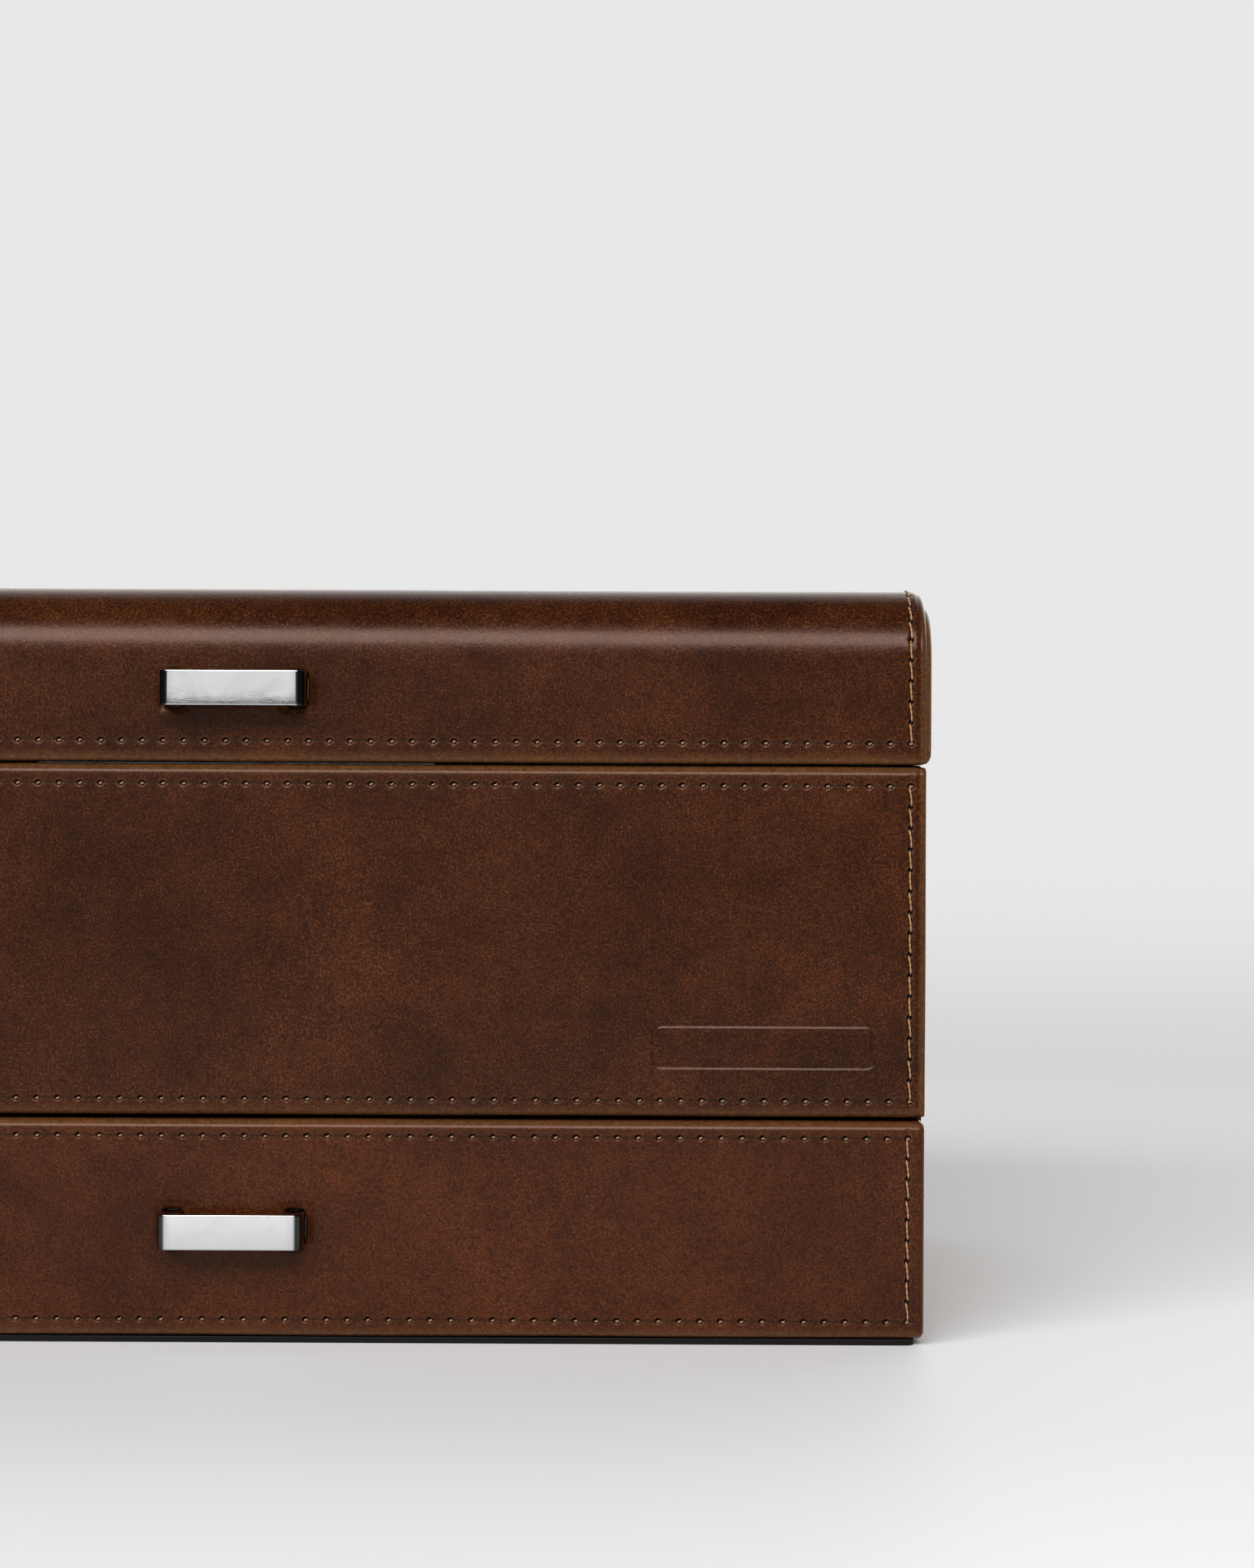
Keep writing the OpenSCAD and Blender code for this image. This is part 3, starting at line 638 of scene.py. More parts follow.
class Tree:
    """A node tree under construction: each method adds a node and gives back its output."""

    def __init__(self, tree):
        self.tree = tree

    def node(self, kind, inputs=None, **options):
        """The new node itself."""
        node = self.tree.nodes.new(kind)
        for option, value in options.items():
            setattr(node, option, value)
        for name, value in (inputs or {}).items():
            self.put(node.inputs[name], value)
        return node

    def put(self, socket, value):
        """A number, a colour or another node's output for a socket."""
        if isinstance(value, bpy.types.NodeSocket):
            self.tree.links.new(value, socket)
        elif socket.type == "RGBA" and len(value) == 3:
            socket.default_value = (*value, 1.0)
        else:
            socket.default_value = value

    def math(self, operation, a, b):
        return self.node("ShaderNodeMath", {0: a, 1: b}, operation=operation).outputs[0]

    def times(self, a, b):
        return self.math("MULTIPLY", a, b)

    def plus(self, a, b):
        return self.math("ADD", a, b)

    def ramp(self, value, start, end, low=0.0, high=1.0, **options):
        """A value's range, stretched to another range and held there."""
        return self.node("ShaderNodeMapRange", {
            "Value": value, "From Min": start, "From Max": end, "To Min": low, "To Max": high},
            **options).outputs[0]


class Finish(Tree):
    """A material under construction."""

    def __init__(self, name):
        self.material = bpy.data.materials.new(name)
        self.material.use_nodes = True
        super().__init__(self.material.node_tree)
        self.shader = self.tree.nodes["Principled BSDF"]
        self.place = self.node("ShaderNodeTexCoord").outputs["Object"]

    def stretched(self, scale):
        """The piece's own coordinates, stretched along each axis."""
        return self.node("ShaderNodeMapping", {"Vector": self.place, "Scale": scale}).outputs[0]

    def cloud(self, size, detail=3.0, rough=0.55, place=None, warp=0.0):
        """Soft noise whose features are about this size, in metres."""
        return self.node("ShaderNodeTexNoise", {
            "Vector": place or self.place, "Scale": 1 / size, "Detail": detail, "Roughness": rough,
            "Distortion": warp}).outputs["Fac"]

    def pebbles(self, size):
        """Distance to the nearest of many points about this far apart."""
        cells = self.node("ShaderNodeTexVoronoi", {"Vector": self.place, "Scale": 1 / size})
        return cells.outputs["Distance"]

    def blend(self, share, first, second):
        """One colour going over to another."""
        node = self.node("ShaderNodeMix", data_type="RGBA")
        for socket, value in ((0, share), (6, first), (7, second)):
            self.put(node.inputs[socket], value)
        return node.outputs[2]

    def stored(self, name):
        """A colour kept on the mesh, as its three channels."""
        colour = self.node("ShaderNodeAttribute", attribute_name=name).outputs["Color"]
        split = self.node("ShaderNodeSeparateColor", {"Color": colour})
        return split.outputs[0], split.outputs[1], split.outputs[2]

    def relief(self, height, distance, strength=1.0, under=None):
        """A bump of this height, in metres, over another bump."""
        inputs = {"Height": height, "Distance": distance, "Strength": strength}
        if under:
            inputs["Normal"] = under
        return self.node("ShaderNodeBump", inputs).outputs[0]

    def steady(self, **sockets):
        """Values that are the same all over the surface."""
        for name, value in sockets.items():
            self.put(self.shader.inputs[name.replace("_", " ")], value)

    def done(self, **sockets):
        """The finished material, with its last sockets filled."""
        self.steady(**sockets)
        return self.material


def dim(colour, share):
    """A colour made darker, or lighter above 1."""
    return tuple(min(1.0, c * share) for c in colour)


def grained_leather(name, dark, light, fleck, worn_colour, grain, gloss=0.25):
    """Semi-aniline leather: soft mottling, fine flecks, pebbled grain, paler where it is worn, and painted
    shade in its stitch holes, along its stitches and in the pulls' leg holes.
    """
    f = Finish(name)
    wide = f.cloud(42 * MM, 3.0, 0.6, warp=0.6)
    soft = f.cloud(11 * MM, 4.0, 0.6)
    mottle = f.ramp(f.plus(f.times(wide, 0.65), f.times(soft, 0.35)), 0.38, 0.68, 0.22, 1.0)
    colour = f.blend(mottle, dark, light)
    fine = f.cloud(0.44 * MM, 2.0, 0.6)
    patchy = f.times(f.ramp(f.cloud(3.5 * MM), 0.35, 0.65, 0.5, 1.0), f.ramp(mottle, 0, 1, 0.35, 1.0))
    colour = f.blend(f.times(f.ramp(fine, 0.49, 0.62), patchy), colour, fleck)
    colour = f.blend(f.times(f.ramp(f.cloud(0.7 * MM, 2.0), 0.50, 0.62), 0.5), colour, dim(dark, 0.35))
    worn, hole, _ = f.stored("shade")
    colour = f.blend(f.times(worn, f.ramp(f.cloud(1.1 * MM), 0.3, 0.7, 0.3, 0.75)), colour, worn_colour)
    # Painted shade: nearly black in the holes and along the stitches.
    colour = f.blend(hole, colour, dim(dark, 0.10))
    bump = f.relief(f.cloud(5 * MM, 2.0), 0.05 * MM, 0.4)
    bump = f.relief(f.ramp(f.pebbles(grain * 1.15), 0.05, 0.40), 0.03 * MM, 0.45, bump)
    bump = f.relief(f.cloud(0.34 * MM, 2.0, 0.7), 0.035 * MM, 0.5, bump)
    uneven = f.plus(f.times(soft, 0.5), f.times(f.cloud(0.8 * MM), 0.5))
    rough = f.ramp(uneven, 0.3, 0.7, gloss - 0.04, gloss + 0.07)
    f.steady(Specular_IOR_Level=0.23, Specular_Tint=(1.0, 0.66, 0.54), Coat_Weight=0.3,
             Coat_Roughness=0.13, Coat_IOR=1.15)
    return f.done(Base_Color=colour, Roughness=f.plus(rough, f.times(hole, 0.3)), Normal=bump)


def raw_edge(name, colour):
    """The cut edge of leather: fibrous and matt."""
    f = Finish(name)
    fibre = f.cloud(0.5 * MM, 4.0, 0.7)
    shade = f.blend(f.ramp(fibre, 0.35, 0.68), dim(colour, 0.55), colour)
    shade = f.blend(f.times(f.ramp(f.cloud(4 * MM), 0.4, 0.7), 0.5), shade, dim(colour, 0.35))
    return f.done(Base_Color=shade, Roughness=f.ramp(fibre, 0.2, 0.8, 0.7, 0.95),
                  Normal=f.relief(fibre, 0.12 * MM, 0.8))


def waxed_thread(name, colour):
    """Twisted linen thread with a little wax."""
    f = Finish(name)
    fibre = f.cloud(0.22 * MM, 4.0, 0.7)
    shade = f.blend(f.ramp(fibre, 0.3, 0.7), dim(colour, 0.50), colour)
    shade = f.blend(f.ramp(f.cloud(9 * MM), 0.35, 0.7, 0.0, 0.5), shade, dim(colour, 0.72))
    f.steady(Sheen_Weight=0.2)
    return f.done(Base_Color=shade, Roughness=f.ramp(fibre, 0.2, 0.8, 0.45, 0.75),
                  Normal=f.relief(fibre, 0.05 * MM, 0.7))


def brushed_suede(name, colour):
    """Microfibre suede: short nap brushed in soft patches, and painted shade where the mesh's shade attribute
    asks for it.
    """
    f = Finish(name)
    brush = f.cloud(26 * MM, 3.0, 0.6, f.stretched((1.0, 0.55, 1.3)), 1.2)
    nap = f.cloud(0.55 * MM, 4.0, 0.75)
    shade = f.blend(f.ramp(brush, 0.40, 0.62), dim(colour, 0.89), dim(colour, 1.05))
    shade = f.blend(f.ramp(nap, 0.35, 0.7, 0.0, 0.45), shade, dim(colour, 0.62))
    # Painted shade, from the shade attribute's second channel.
    shade = f.blend(f.stored("shade")[1], shade, dim(colour, 0.25))
    bump = f.relief(brush, 0.25 * MM, 0.3)
    f.steady(Sheen_Weight=0.55, Sheen_Roughness=0.45, Specular_IOR_Level=0.15)
    return f.done(Base_Color=shade, Roughness=f.ramp(nap, 0.2, 0.8, 0.82, 0.97),
                  Normal=f.relief(nap, 0.10 * MM, 0.7, bump))


def grained_wood(name, colour, grain):
    """Straight-grained hardwood: growth rings stretched along the grain, with fine pores."""
    f = Finish(name)
    long = f.stretched(grain)
    rings = f.node("ShaderNodeTexWave", {
        "Vector": long, "Scale": 34.0, "Distortion": 5.0, "Detail": 3.0, "Detail Scale": 1.6},
        wave_type="BANDS", bands_direction="DIAGONAL").outputs["Fac"]
    pores = f.cloud(0.8 * MM, 3.0, 0.7, long)
    shade = f.blend(f.ramp(rings, 0.15, 0.9), dim(colour, 0.62), dim(colour, 1.15))
    shade = f.blend(f.ramp(pores, 0.52, 0.70, 0.0, 0.6), shade, dim(colour, 0.38))
    bump = f.relief(pores, 0.06 * MM, 0.6)
    return f.done(Base_Color=shade, Roughness=f.ramp(rings, 0.0, 1.0, 0.42, 0.54),
                  Normal=f.relief(rings, 0.04 * MM, 0.4, bump))


def pressed_board(name, colour):
    """Fibreboard: fine pale and dark fibres without direction."""
    f = Finish(name)
    fibre = f.cloud(1.3 * MM, 5.0, 0.75, warp=0.8)
    shade = f.blend(f.ramp(fibre, 0.32, 0.68), dim(colour, 0.62), dim(colour, 1.1))
    shade = f.blend(f.ramp(f.cloud(0.35 * MM), 0.62, 0.72, 0.0, 0.6), shade, dim(colour, 0.35))
    return f.done(Base_Color=shade, Roughness=f.ramp(fibre, 0.2, 0.8, 0.68, 0.88),
                  Normal=f.relief(fibre, 0.08 * MM, 0.7))


def pressed_felt(name, colour):
    """Wool felt: matted fibres with a soft fuzz."""
    f = Finish(name)
    fibre = f.cloud(1.0 * MM, 5.0, 0.8, warp=1.5)
    shade = f.blend(f.ramp(fibre, 0.35, 0.65), dim(colour, 0.55), dim(colour, 1.5))
    f.steady(Sheen_Weight=0.06, Specular_IOR_Level=0.2)
    return f.done(Base_Color=shade, Roughness=f.ramp(fibre, 0.2, 0.8, 0.85, 1.0),
                  Normal=f.relief(fibre, 0.25 * MM, 0.8))


def polished_metal(name, colour, gloss):
    """Plated metal: faint wiping marks, dust, fine waviness and painted dark reflections where the mesh's
    shade attribute asks for them.
    """
    f = Finish(name)
    marks = f.cloud(0.5 * MM, 4.0, 0.7, f.stretched((0.08, 1.0, 1.0)))
    smear = f.cloud(7 * MM, 3.0, 0.6, warp=0.8)
    shade = f.blend(f.ramp(smear, 0.4, 0.7, 0.0, 0.35), colour, dim(colour, 0.82))
    # Painted dark reflection, from the shade attribute's second channel.
    shade = f.blend(f.stored("shade")[1], shade, dim(colour, 0.07))
    rough = f.plus(f.ramp(smear, 0.35, 0.7, gloss, gloss + 0.07), f.ramp(marks, 0.5, 0.75, 0.0, 0.05))
    return f.done(Base_Color=shade, Metallic=1.0, Roughness=rough,
                  Normal=f.relief(marks, 0.006 * MM, 0.5, f.relief(smear, 0.05 * MM, 0.2)))


def brushed_metal(name, colour, gloss=0.30):
    """Drawn sheet metal: fine scratches along one axis and dull patches."""
    f = Finish(name)
    scratch = f.cloud(0.35 * MM, 4.0, 0.75, f.stretched((0.04, 1.0, 1.0)))
    dull = f.cloud(3 * MM, 3.0, 0.6)
    shade = f.blend(f.ramp(dull, 0.45, 0.7, 0.0, 0.6), colour, dim(colour, 0.55))
    rough = f.plus(f.ramp(dull, 0.3, 0.7, gloss, gloss + 0.15), f.ramp(scratch, 0.4, 0.7, 0.0, 0.1))
    return f.done(Base_Color=shade, Metallic=1.0, Roughness=rough, Normal=f.relief(scratch, 0.02 * MM, 0.6))


FINISH = {}


def make_finishes():
    """Every finish that the pieces share, by name."""
    scene = bpy.context.scene
    leather, lining, fittings = scene.case_leather, scene.case_lining, scene.case_fittings
    dark, light, end = leather.body_colour, leather.worn_colour, leather.end_colour
    marks = (leather.fleck_colour, leather.rub_colour, leather.grain)
    end_marks = (dim(end, 1.8), leather.rub_colour, leather.grain * 1.2, 0.36)
    FINISH.update({
        "leather": grained_leather("dark_leather", dark, light, *marks),
        "drawer_leather": grained_leather("drawer_leather", dim(dark, 1.9), dim(light, 1.35), *marks),
        "end_leather": grained_leather("end_leather", dim(end, 0.7), end, *end_marks),
        "cut_edge": raw_edge("cut_edge", leather.edge_colour),
        "thread": waxed_thread("waxed_thread", leather.thread_colour),
        "suede": brushed_suede("suede_lining", lining.suede_colour),
        "pillow_suede": brushed_suede("pillow_suede", dim(lining.suede_colour, 1.12)),
        "piping": brushed_suede("piping_suede", dim(lining.suede_colour, 0.72)),
        "wood": grained_wood("drawer_wood", fittings.wood_colour, (1.0, 0.05, 1.0)),
        "cross_wood": grained_wood("drawer_cross_wood", fittings.wood_colour, (0.05, 1.0, 1.0)),
        "board": pressed_board("fibreboard", (0.30, 0.20, 0.115)),
        "felt": pressed_felt("base_felt", (0.0045, 0.0032, 0.0026)),
        "chrome": polished_metal("polished_metal", fittings.chrome_colour, 0.06),
        "steel": brushed_metal("screw_steel", (0.50, 0.50, 0.51)),
        "dull_steel": brushed_metal("dull_steel", (0.20, 0.20, 0.22), 0.4),
        "nickel": brushed_metal("hinge_nickel", (0.62, 0.60, 0.56), 0.22),
        "magnet": polished_metal("magnet_plate", (0.56, 0.56, 0.58), 0.20),
    })


# The CAD nodes that stay in view, by finish.
NODES_IN_VIEW = {
    "felt": ("base_sheet", "drawer_runners"),
    "board": ("base_board", "side_board_left", "side_board_right", "back_board", "deck_board",
              "body_front_board", "drawer_stops", "lid_front_rail", "lid_back_rail", "lid_side_board_left",
              "lid_side_board_right", "lid_top_board", "drawer_front_board"),
    "leather": ("bay_trim",),
    "dull_steel": ("keeper_plate",),
    "nickel": ("hinge_leaf_case_left", "hinge_leaf_case_right", "hinge_leaf_lid_left",
               "hinge_leaf_lid_right"),
    "steel": ("hinge_pins", "hinge_screws_case", "hinge_screws_lid", "lid_handle_screws",
              "drawer_handle_screws"),
    "magnet": ("lid_magnets",),
}


def finish_nodes():
    """Gives each CAD node its finish through its own material slots."""
    for finish, nodes in NODES_IN_VIEW.items():
        for node in nodes:
            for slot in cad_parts[node].material_slots:
                slot.material = FINISH[finish]


# ---- The case's own covers ----


def sideways(u, point):
    """Front and back covers run across the case."""
    return Vector((u, point.x, point.y))


def on_right(u, point):
    """Covers on the right side run from back to front."""
    return Vector((point.x, -u, point.y))


def on_left(u, point):
    """Covers on the left side run from front to back."""
    return Vector((-point.x, u, point.y))


def cut_end(reach, drop, drop_over, width, crease):
    """The leather bends away towards a cut end, after a crease; more so where it lies on top."""
    def sink(u, v, out):
        inside = min(u - reach[0], reach[1] - u)
        share = max(0.0, 1 - inside / width)
        fall = drop + (drop_over - drop) * max(0.0, out.y) + (0.25 * MM - drop) * max(0.0, -out.y)
        bend = fall * (1 - math.sqrt(max(0.0, 1 - share * share)))
        return bend + crease * bell(inside - 1.45 * MM, 0.45 * MM)
    return sink


CREASE = 0.22 * MM     # depth of the crease beside a cut end
KNUCKLE = 2.8 * MM     # room that a hinge's knuckle needs around its axis
PRESSED = 2.4 * MM     # how far the leather is pressed in around a pull's leg
# From a cover's lower and upper edges to its rows of stitches.
ROW_IN = {"lid": (4.6 * MM, 4.6 * MM), "body": (3.7 * MM, 4.2 * MM), "drawer": (3.8 * MM, 3.6 * MM),
          "back": (3.8 * MM, 4.2 * MM)}
# Where the net's lines lie beside a cut end.
END_LINES = [d * MM for d in (0.12, 0.3, 0.55, 0.8, 1.05, 1.3, 1.5, 1.75, 2.05, 2.4, 2.9)]


def hinge_gaps(cover, v0, v1):
    """Leaves the leather out where each hinge lies."""
    for side in SIDES:
        a, b = low("hinge_leaf_case_" + side).x, high("hinge_leaf_case_" + side).x
        cover.cut(a - CLEAR, b + CLEAR, v0, v1)


def hinge_room():
    """How far above and below the hinge's axis the leather keeps clear."""
    middle = (low("hinge_pins") + high("hinge_pins")) / 2
    return middle.z, math.sqrt(KNUCKLE ** 2 - (middle.y - BACK) ** 2)


def stitched(section, half, rows, cross, turned=0.0):
    """A cover across the case, with rows of stitches and a column near each end."""
    pitch = bpy.context.scene.case_leather.pitch
    stitching = Stitching(cross, rows, [-cross, cross], rows, pitch)
    return Cover(section, (-half, half), sideways, stitching, turned)


def row_levels(section, name, z0, z1):
    """Where a section reaches the levels of its lower and upper rows of stitches."""
    below, above = ROW_IN[name]
    return [section.reaches(1, z0 + below), section.reaches(1, z1 - above)]


def sewn(name, cover, finish, body, node):
    """The finished piece of a stitched cover, which is kept for its stitches."""
    piece = leather_piece(name, cover, [FINISH[finish], FINISH["cut_edge"]], LEATHER_T)
    belong(piece, body, [node])
    SEWN[body].append(cover)


def turned_section(inner, z0, z1, radius):
    """A front's section: in under the lower edge, up the front and back over the upper edge."""
    return Section([(inner, z0), (FRONT, z0), (FRONT, z1), (inner, z1)], [radius, radius])


def leg_holes(cover, pull):
    """The holes that a pull's two legs go through."""
    leather = bpy.context.scene.case_leather
    a, b = low(pull), high(pull)
    v = cover.section.reaches(1, (a.z + b.z) / 2)
    half_w = leather.leg / 2 + leather.leg_margin
    half_h = (b.z - a.z) / 2 + leather.leg_margin
    for side in (-1, 1):
        cover.hole(side * (b.x - leather.leg / 2), v, half_w, half_h, PRESSED)


def lid_cover():
    """One wrap over the lid's front, top and back."""
    s = bpy.context.scene.case_leather
    z0, z1 = low("lid_skin").z, high("lid_skin").z
    y0, y1 = high("lid_front_rail").y, low("lid_back_rail").y
    section = Section([(y0, z0), (FRONT, z0), (FRONT, z1), (BACK, z1), (BACK, z0), (y1, z0)],
                      [s.lid_edge_round, s.lid_roll, s.lid_back_roll, s.lid_edge_round])
    front_row = section.reaches(1, z0 + ROW_IN["lid"][0])
    back_row = section.reaches(1, z0 + ROW_IN["lid"][0], last=True)
    cross = HALF - s.column_in
    cover = stitched(section, HALF, [front_row, back_row], cross)
    cover.sink = [cut_end((-HALF, HALF), 0.9 * MM, 2.5 * MM, 2.6 * MM, CREASE),
                  undulation(0.16 * MM, 55 * MM, 1.0)]
    leg_holes(cover, "lid_handle")
    axis, room = hinge_room()
    hinge_gaps(cover, section.reaches(1, axis + room, last=True), section.length)
    cover.build(end_lines=END_LINES)
    sewn("lid_cover", cover, "leather", "lid", "lid_skin")


def body_front_cover():
    """The middle tier's front, turned over the top and under the bottom edge, with its blind-tooled frame."""
    s = bpy.context.scene.case_leather
    z0, z1 = low("body_front_skin").z, high("body_front_skin").z
    inner = high("body_front_board").y
    section = turned_section(inner, z0, z1, s.edge_round)
    rows = row_levels(section, "body", z0, z1)
    cover = stitched(section, HALF, rows, HALF - s.column_in)
    half_w, half_h = s.frame_width / 2, s.frame_height / 2
    middle_v = section.reaches(1, s.frame_up)
    corner = 1.6 * MM
    cover.patch(s.frame_across - half_w - corner, s.frame_across + half_w + corner,
                middle_v - half_h - corner, middle_v + half_h + corner, 0.3 * MM)

    def tooled(u, v, out):
        """A rounded line along the frame, with a finer one inside it."""
        across = abs(u - s.frame_across) - half_w + corner
        up = abs(v - middle_v) - half_h + corner
        edge = math.hypot(max(across, 0), max(up, 0)) + min(max(across, up), 0) - corner
        return 0.26 * MM * bell(edge, 0.42 * MM) + 0.12 * MM * bell(edge + 1.5 * MM, 0.25 * MM)

    cover.sink = [cut_end((-HALF, HALF), 0.8 * MM, 0.35 * MM, 1.8 * MM, CREASE),
                  undulation(0.14 * MM, 50 * MM, 4.0), tooled]
    a, b = low("keeper_plate"), high("keeper_plate")
    gap = CLEAR / 2
    near, far = (section.reaches(0, y, last=True) for y in (a.y, b.y + gap))
    cover.cut(a.x - gap, b.x + gap, near, far)
    cover.build(end_lines=END_LINES)
    sewn("body_front_cover", cover, "leather", "case", "body_front_skin")


def drawer_cover():
    """The drawer front, with the leather turned over all four edges."""
    s = bpy.context.scene.case_leather
    z0, z1 = low("drawer_front_skin").z, high("drawer_front_skin").z
    inner = high("drawer_front_board").y
    section = turned_section(inner, z0, z1, s.edge_round)
    rows = row_levels(section, "drawer", z0, z1)
    turned = s.turned_round
    reach = HALF - turned + turned * math.pi / 2
    cover = stitched(section, reach, rows, HALF - s.column_in - 0.3 * MM, turned)
    cover.sink = [undulation(0.12 * MM, 45 * MM, 9.0)]
    leg_holes(cover, "drawer_handle")
    cover.build(end_lines=[turned * math.pi / 2 * k / 6 for k in range(1, 7)])
    sewn("drawer_cover", cover, "drawer_leather", "drawer", "drawer_front_skin")


def back_cover():
    """The case's back, turned over the rim between the hinges."""
    s = bpy.context.scene.case_leather
    z0, z1, half = low("back_skin").z, high("back_skin").z, high("back_skin").x
    inner, board_x, board_y = low("back_skin").y, high("base_board").x, high("back_board").y
    section = Section([(inner, z1), (BACK, z1), (BACK, z0)], [s.edge_round])
    rows = row_levels(section, "back", z0, z1)[::-1]
    cover = stitched(section, half, rows, half - s.column_in)
    cover.sink = [cut_end((-half, half), 0.8 * MM, 0.8 * MM, 1.8 * MM, CREASE),
                  undulation(0.14 * MM, 50 * MM, 14.0)]
    for a, b in ((-half, -board_x), (board_x, half)):
        cover.cut(a, b, 0.0, section.reaches(0, board_y))
    axis, room = hinge_room()
    hinge_gaps(cover, 0.0, section.reaches(1, axis - room))
    cover.build(end_lines=END_LINES)
    sewn("back_cover", cover, "leather", "case", "back_skin")


def to_outline(point, outline):
    """Distance from a point to an open or closed run of segments."""
    nearest = 1.0
    for a, b in zip(outline, outline[1:]):
        along = b - a
        share = max(0.0, min(1.0, (point - a).dot(along) / along.length_squared))
        nearest = min(nearest, (point - a - along * share).length)
    return nearest


def side_cover(side):
    """A padded end of the case, turned over the rim; its front tongue covers the front board's end."""
    s = bpy.context.scene.case_leather
    node = "side_skin_" + side
    edge_x = high("side_skin_right").x
    board_x = high("base_board").x
    z0, z1 = low(node).z, high(node).z
    y0, y1 = low(node).y, high(node).y
    thick = edge_x - high("back_board").x
    section = Section([(board_x, z1), (edge_x, z1), (edge_x, z0)], [s.lid_edge_round])
    trim_y = high("body_front_board").y + CLEAR
    tongue_top = section.reaches(1, z1 - s.edge_round)
    tongue_low = section.reaches(1, low("body_front_board").z + CLEAR)
    end = section.length
    flip = -1 if side == "right" else 1
    reach = tuple(sorted((flip * y0, flip * y1)))
    cover = Cover(section, reach, on_right if side == "right" else on_left)
    front = tuple(sorted((flip * y0, flip * trim_y)))
    cover.cut(*front, 0.0, tongue_top)
    cover.cut(*front, tongue_low, end)
    outline = [Vector(p) for p in ((trim_y, 0), (trim_y, tongue_top), (y0, tongue_top), (y0, tongue_low),
                                   (trim_y, tongue_low), (trim_y, end), (y1, end), (y1, 0))]

    def puffed(u, v, out):
        """The padding falls away to the edges and swells up over the rim."""
        inside = to_outline(Vector((flip * u, v)), outline)
        edge = max(0.0, 1 - inside / (1.9 * MM))
        slope = max(0.0, 1 - inside / (26 * MM))
        fall = 0.9 * MM * (1 - math.sqrt(1 - edge * edge)) + 0.45 * MM * slope ** 2
        return fall * max(0.0, out.x) - s.rim_swell * max(0.0, out.y) * (1 - edge * edge)

    cover.sink = [puffed, undulation(0.12 * MM, 40 * MM, 21.0 + flip)]
    lines = [d * MM for d in (0.25, 0.6, 1.0, 1.5, 2.1, 3.2, 5.0)]
    cover.must_u += [flip * (trim_y + d) for d in lines]
    cover.must_v += [v + d for v, way in ((tongue_top, 1), (tongue_low, -1), (end, -1))
                     for d in (way * line for line in lines)]
    cover.build(end_lines=lines, flat_step=7 * MM)
    piece = leather_piece("padded_end_" + side, cover, [FINISH["end_leather"]], thick * 0.98, hems=False)
    belong(piece, "case", [node])


def lofted(name, rings, materials):
    """A closed skin over rings of points, the first and last ring filled in."""
    bm = bmesh.new()
    shade = bm.verts.layers.float_color.new("shade")
    made = [[bm.verts.new(p) for p in ring] for ring in rings]
    for vertex in bm.verts:
        vertex[shade] = (0.0, 0.0, 0.0, 1.0)
    for lower, upper in zip(made, made[1:]):
        for k in range(len(lower)):
            bm.faces.new([lower[k - 1], lower[k], upper[k], upper[k - 1]])
    bm.faces.new(list(reversed(made[0])))
    bm.faces.new(made[-1])
    bmesh.ops.recalc_face_normals(bm, faces=bm.faces)
    return poured(name, bm, materials)


def joined(pieces):
    """Makes one piece of several."""
    with bpy.context.temp_override(active_object=pieces[0], selected_editable_objects=pieces):
        bpy.ops.object.join()
    return pieces[0]


def drawn_in(point, share, near, far, middle):
    """A point moved a share of the way towards the middle line of a long panel."""
    target = Vector((min(max(point.x, near), far), middle))
    return point + (target - point) * share


def lid_end(side):
    """A padded end of the lid, set into the wrap, and the strip under the lid's end board."""
    s = bpy.context.scene.case_leather
    node = "lid_side_skin_" + side
    z0, z1 = low("lid_skin").z, high("lid_skin").z
    board, edge = high("lid_side_board_right").x, high("lid_side_skin_right").x
    inset = s.end_inset
    base = z0 + 0.06 * MM
    front, back, top = FRONT + inset, BACK - inset, z1 - inset
    section = Section([(0, base), (front, base), (front, top), (back, top), (back, base), (0, base)],
                      [1.6 * MM, s.lid_roll - inset, s.lid_back_roll - inset + 1.5 * MM, 1.6 * MM])
    ring = section.ring(6 * MM, math.radians(9))
    middle = (base + z1 - inset) / 2
    sign = 1 if side == "right" else -1
    rings = []
    for share in (0, 0, 0.012, 0.04, 0.09, 0.16, 0.26, 0.4, 0.6, 0.82, 0.95):
        rise = 0.35 + 0.65 * math.sqrt(1 - (1 - min(1.0, share * 4.5)) ** 3)
        x = board if not rings else board + (edge - board) * rise
        rings.append([])
        for point in ring:
            p = drawn_in(point, share, FRONT + 19 * MM, BACK - 16 * MM, middle)
            rings[-1].append(Vector((sign * x, p.x, p.y)))
    pad = lofted("padded_lid_end_" + side, rings, [FINISH["end_leather"]])
    smooth(pad, 60)
    strip_x = edge - 1.0 * MM
    under = Section([(strip_x, z0 + 2.2 * MM), (strip_x, z0), (high("base_board").x, z0)], [0.8 * MM])
    y0, y1 = high("lid_front_rail").y + CLEAR, low("lid_back_rail").y - CLEAR
    reach = (-y1, -y0) if side == "right" else (y0, y1)
    strip = Cover(under, reach, on_right if side == "right" else on_left)
    strip.sink = [undulation(0.05 * MM, 30 * MM, 31.0)]
    strip.build()
    edge_strip = leather_piece("strip_" + side, strip, [FINISH["end_leather"]], 0.9 * LEATHER_T, hems=False)
    piece = joined([pad, edge_strip])
    belong(piece, "lid", [node])


# ---- Stitches ----

SEWN = {"case": [], "lid": [], "drawer": []}


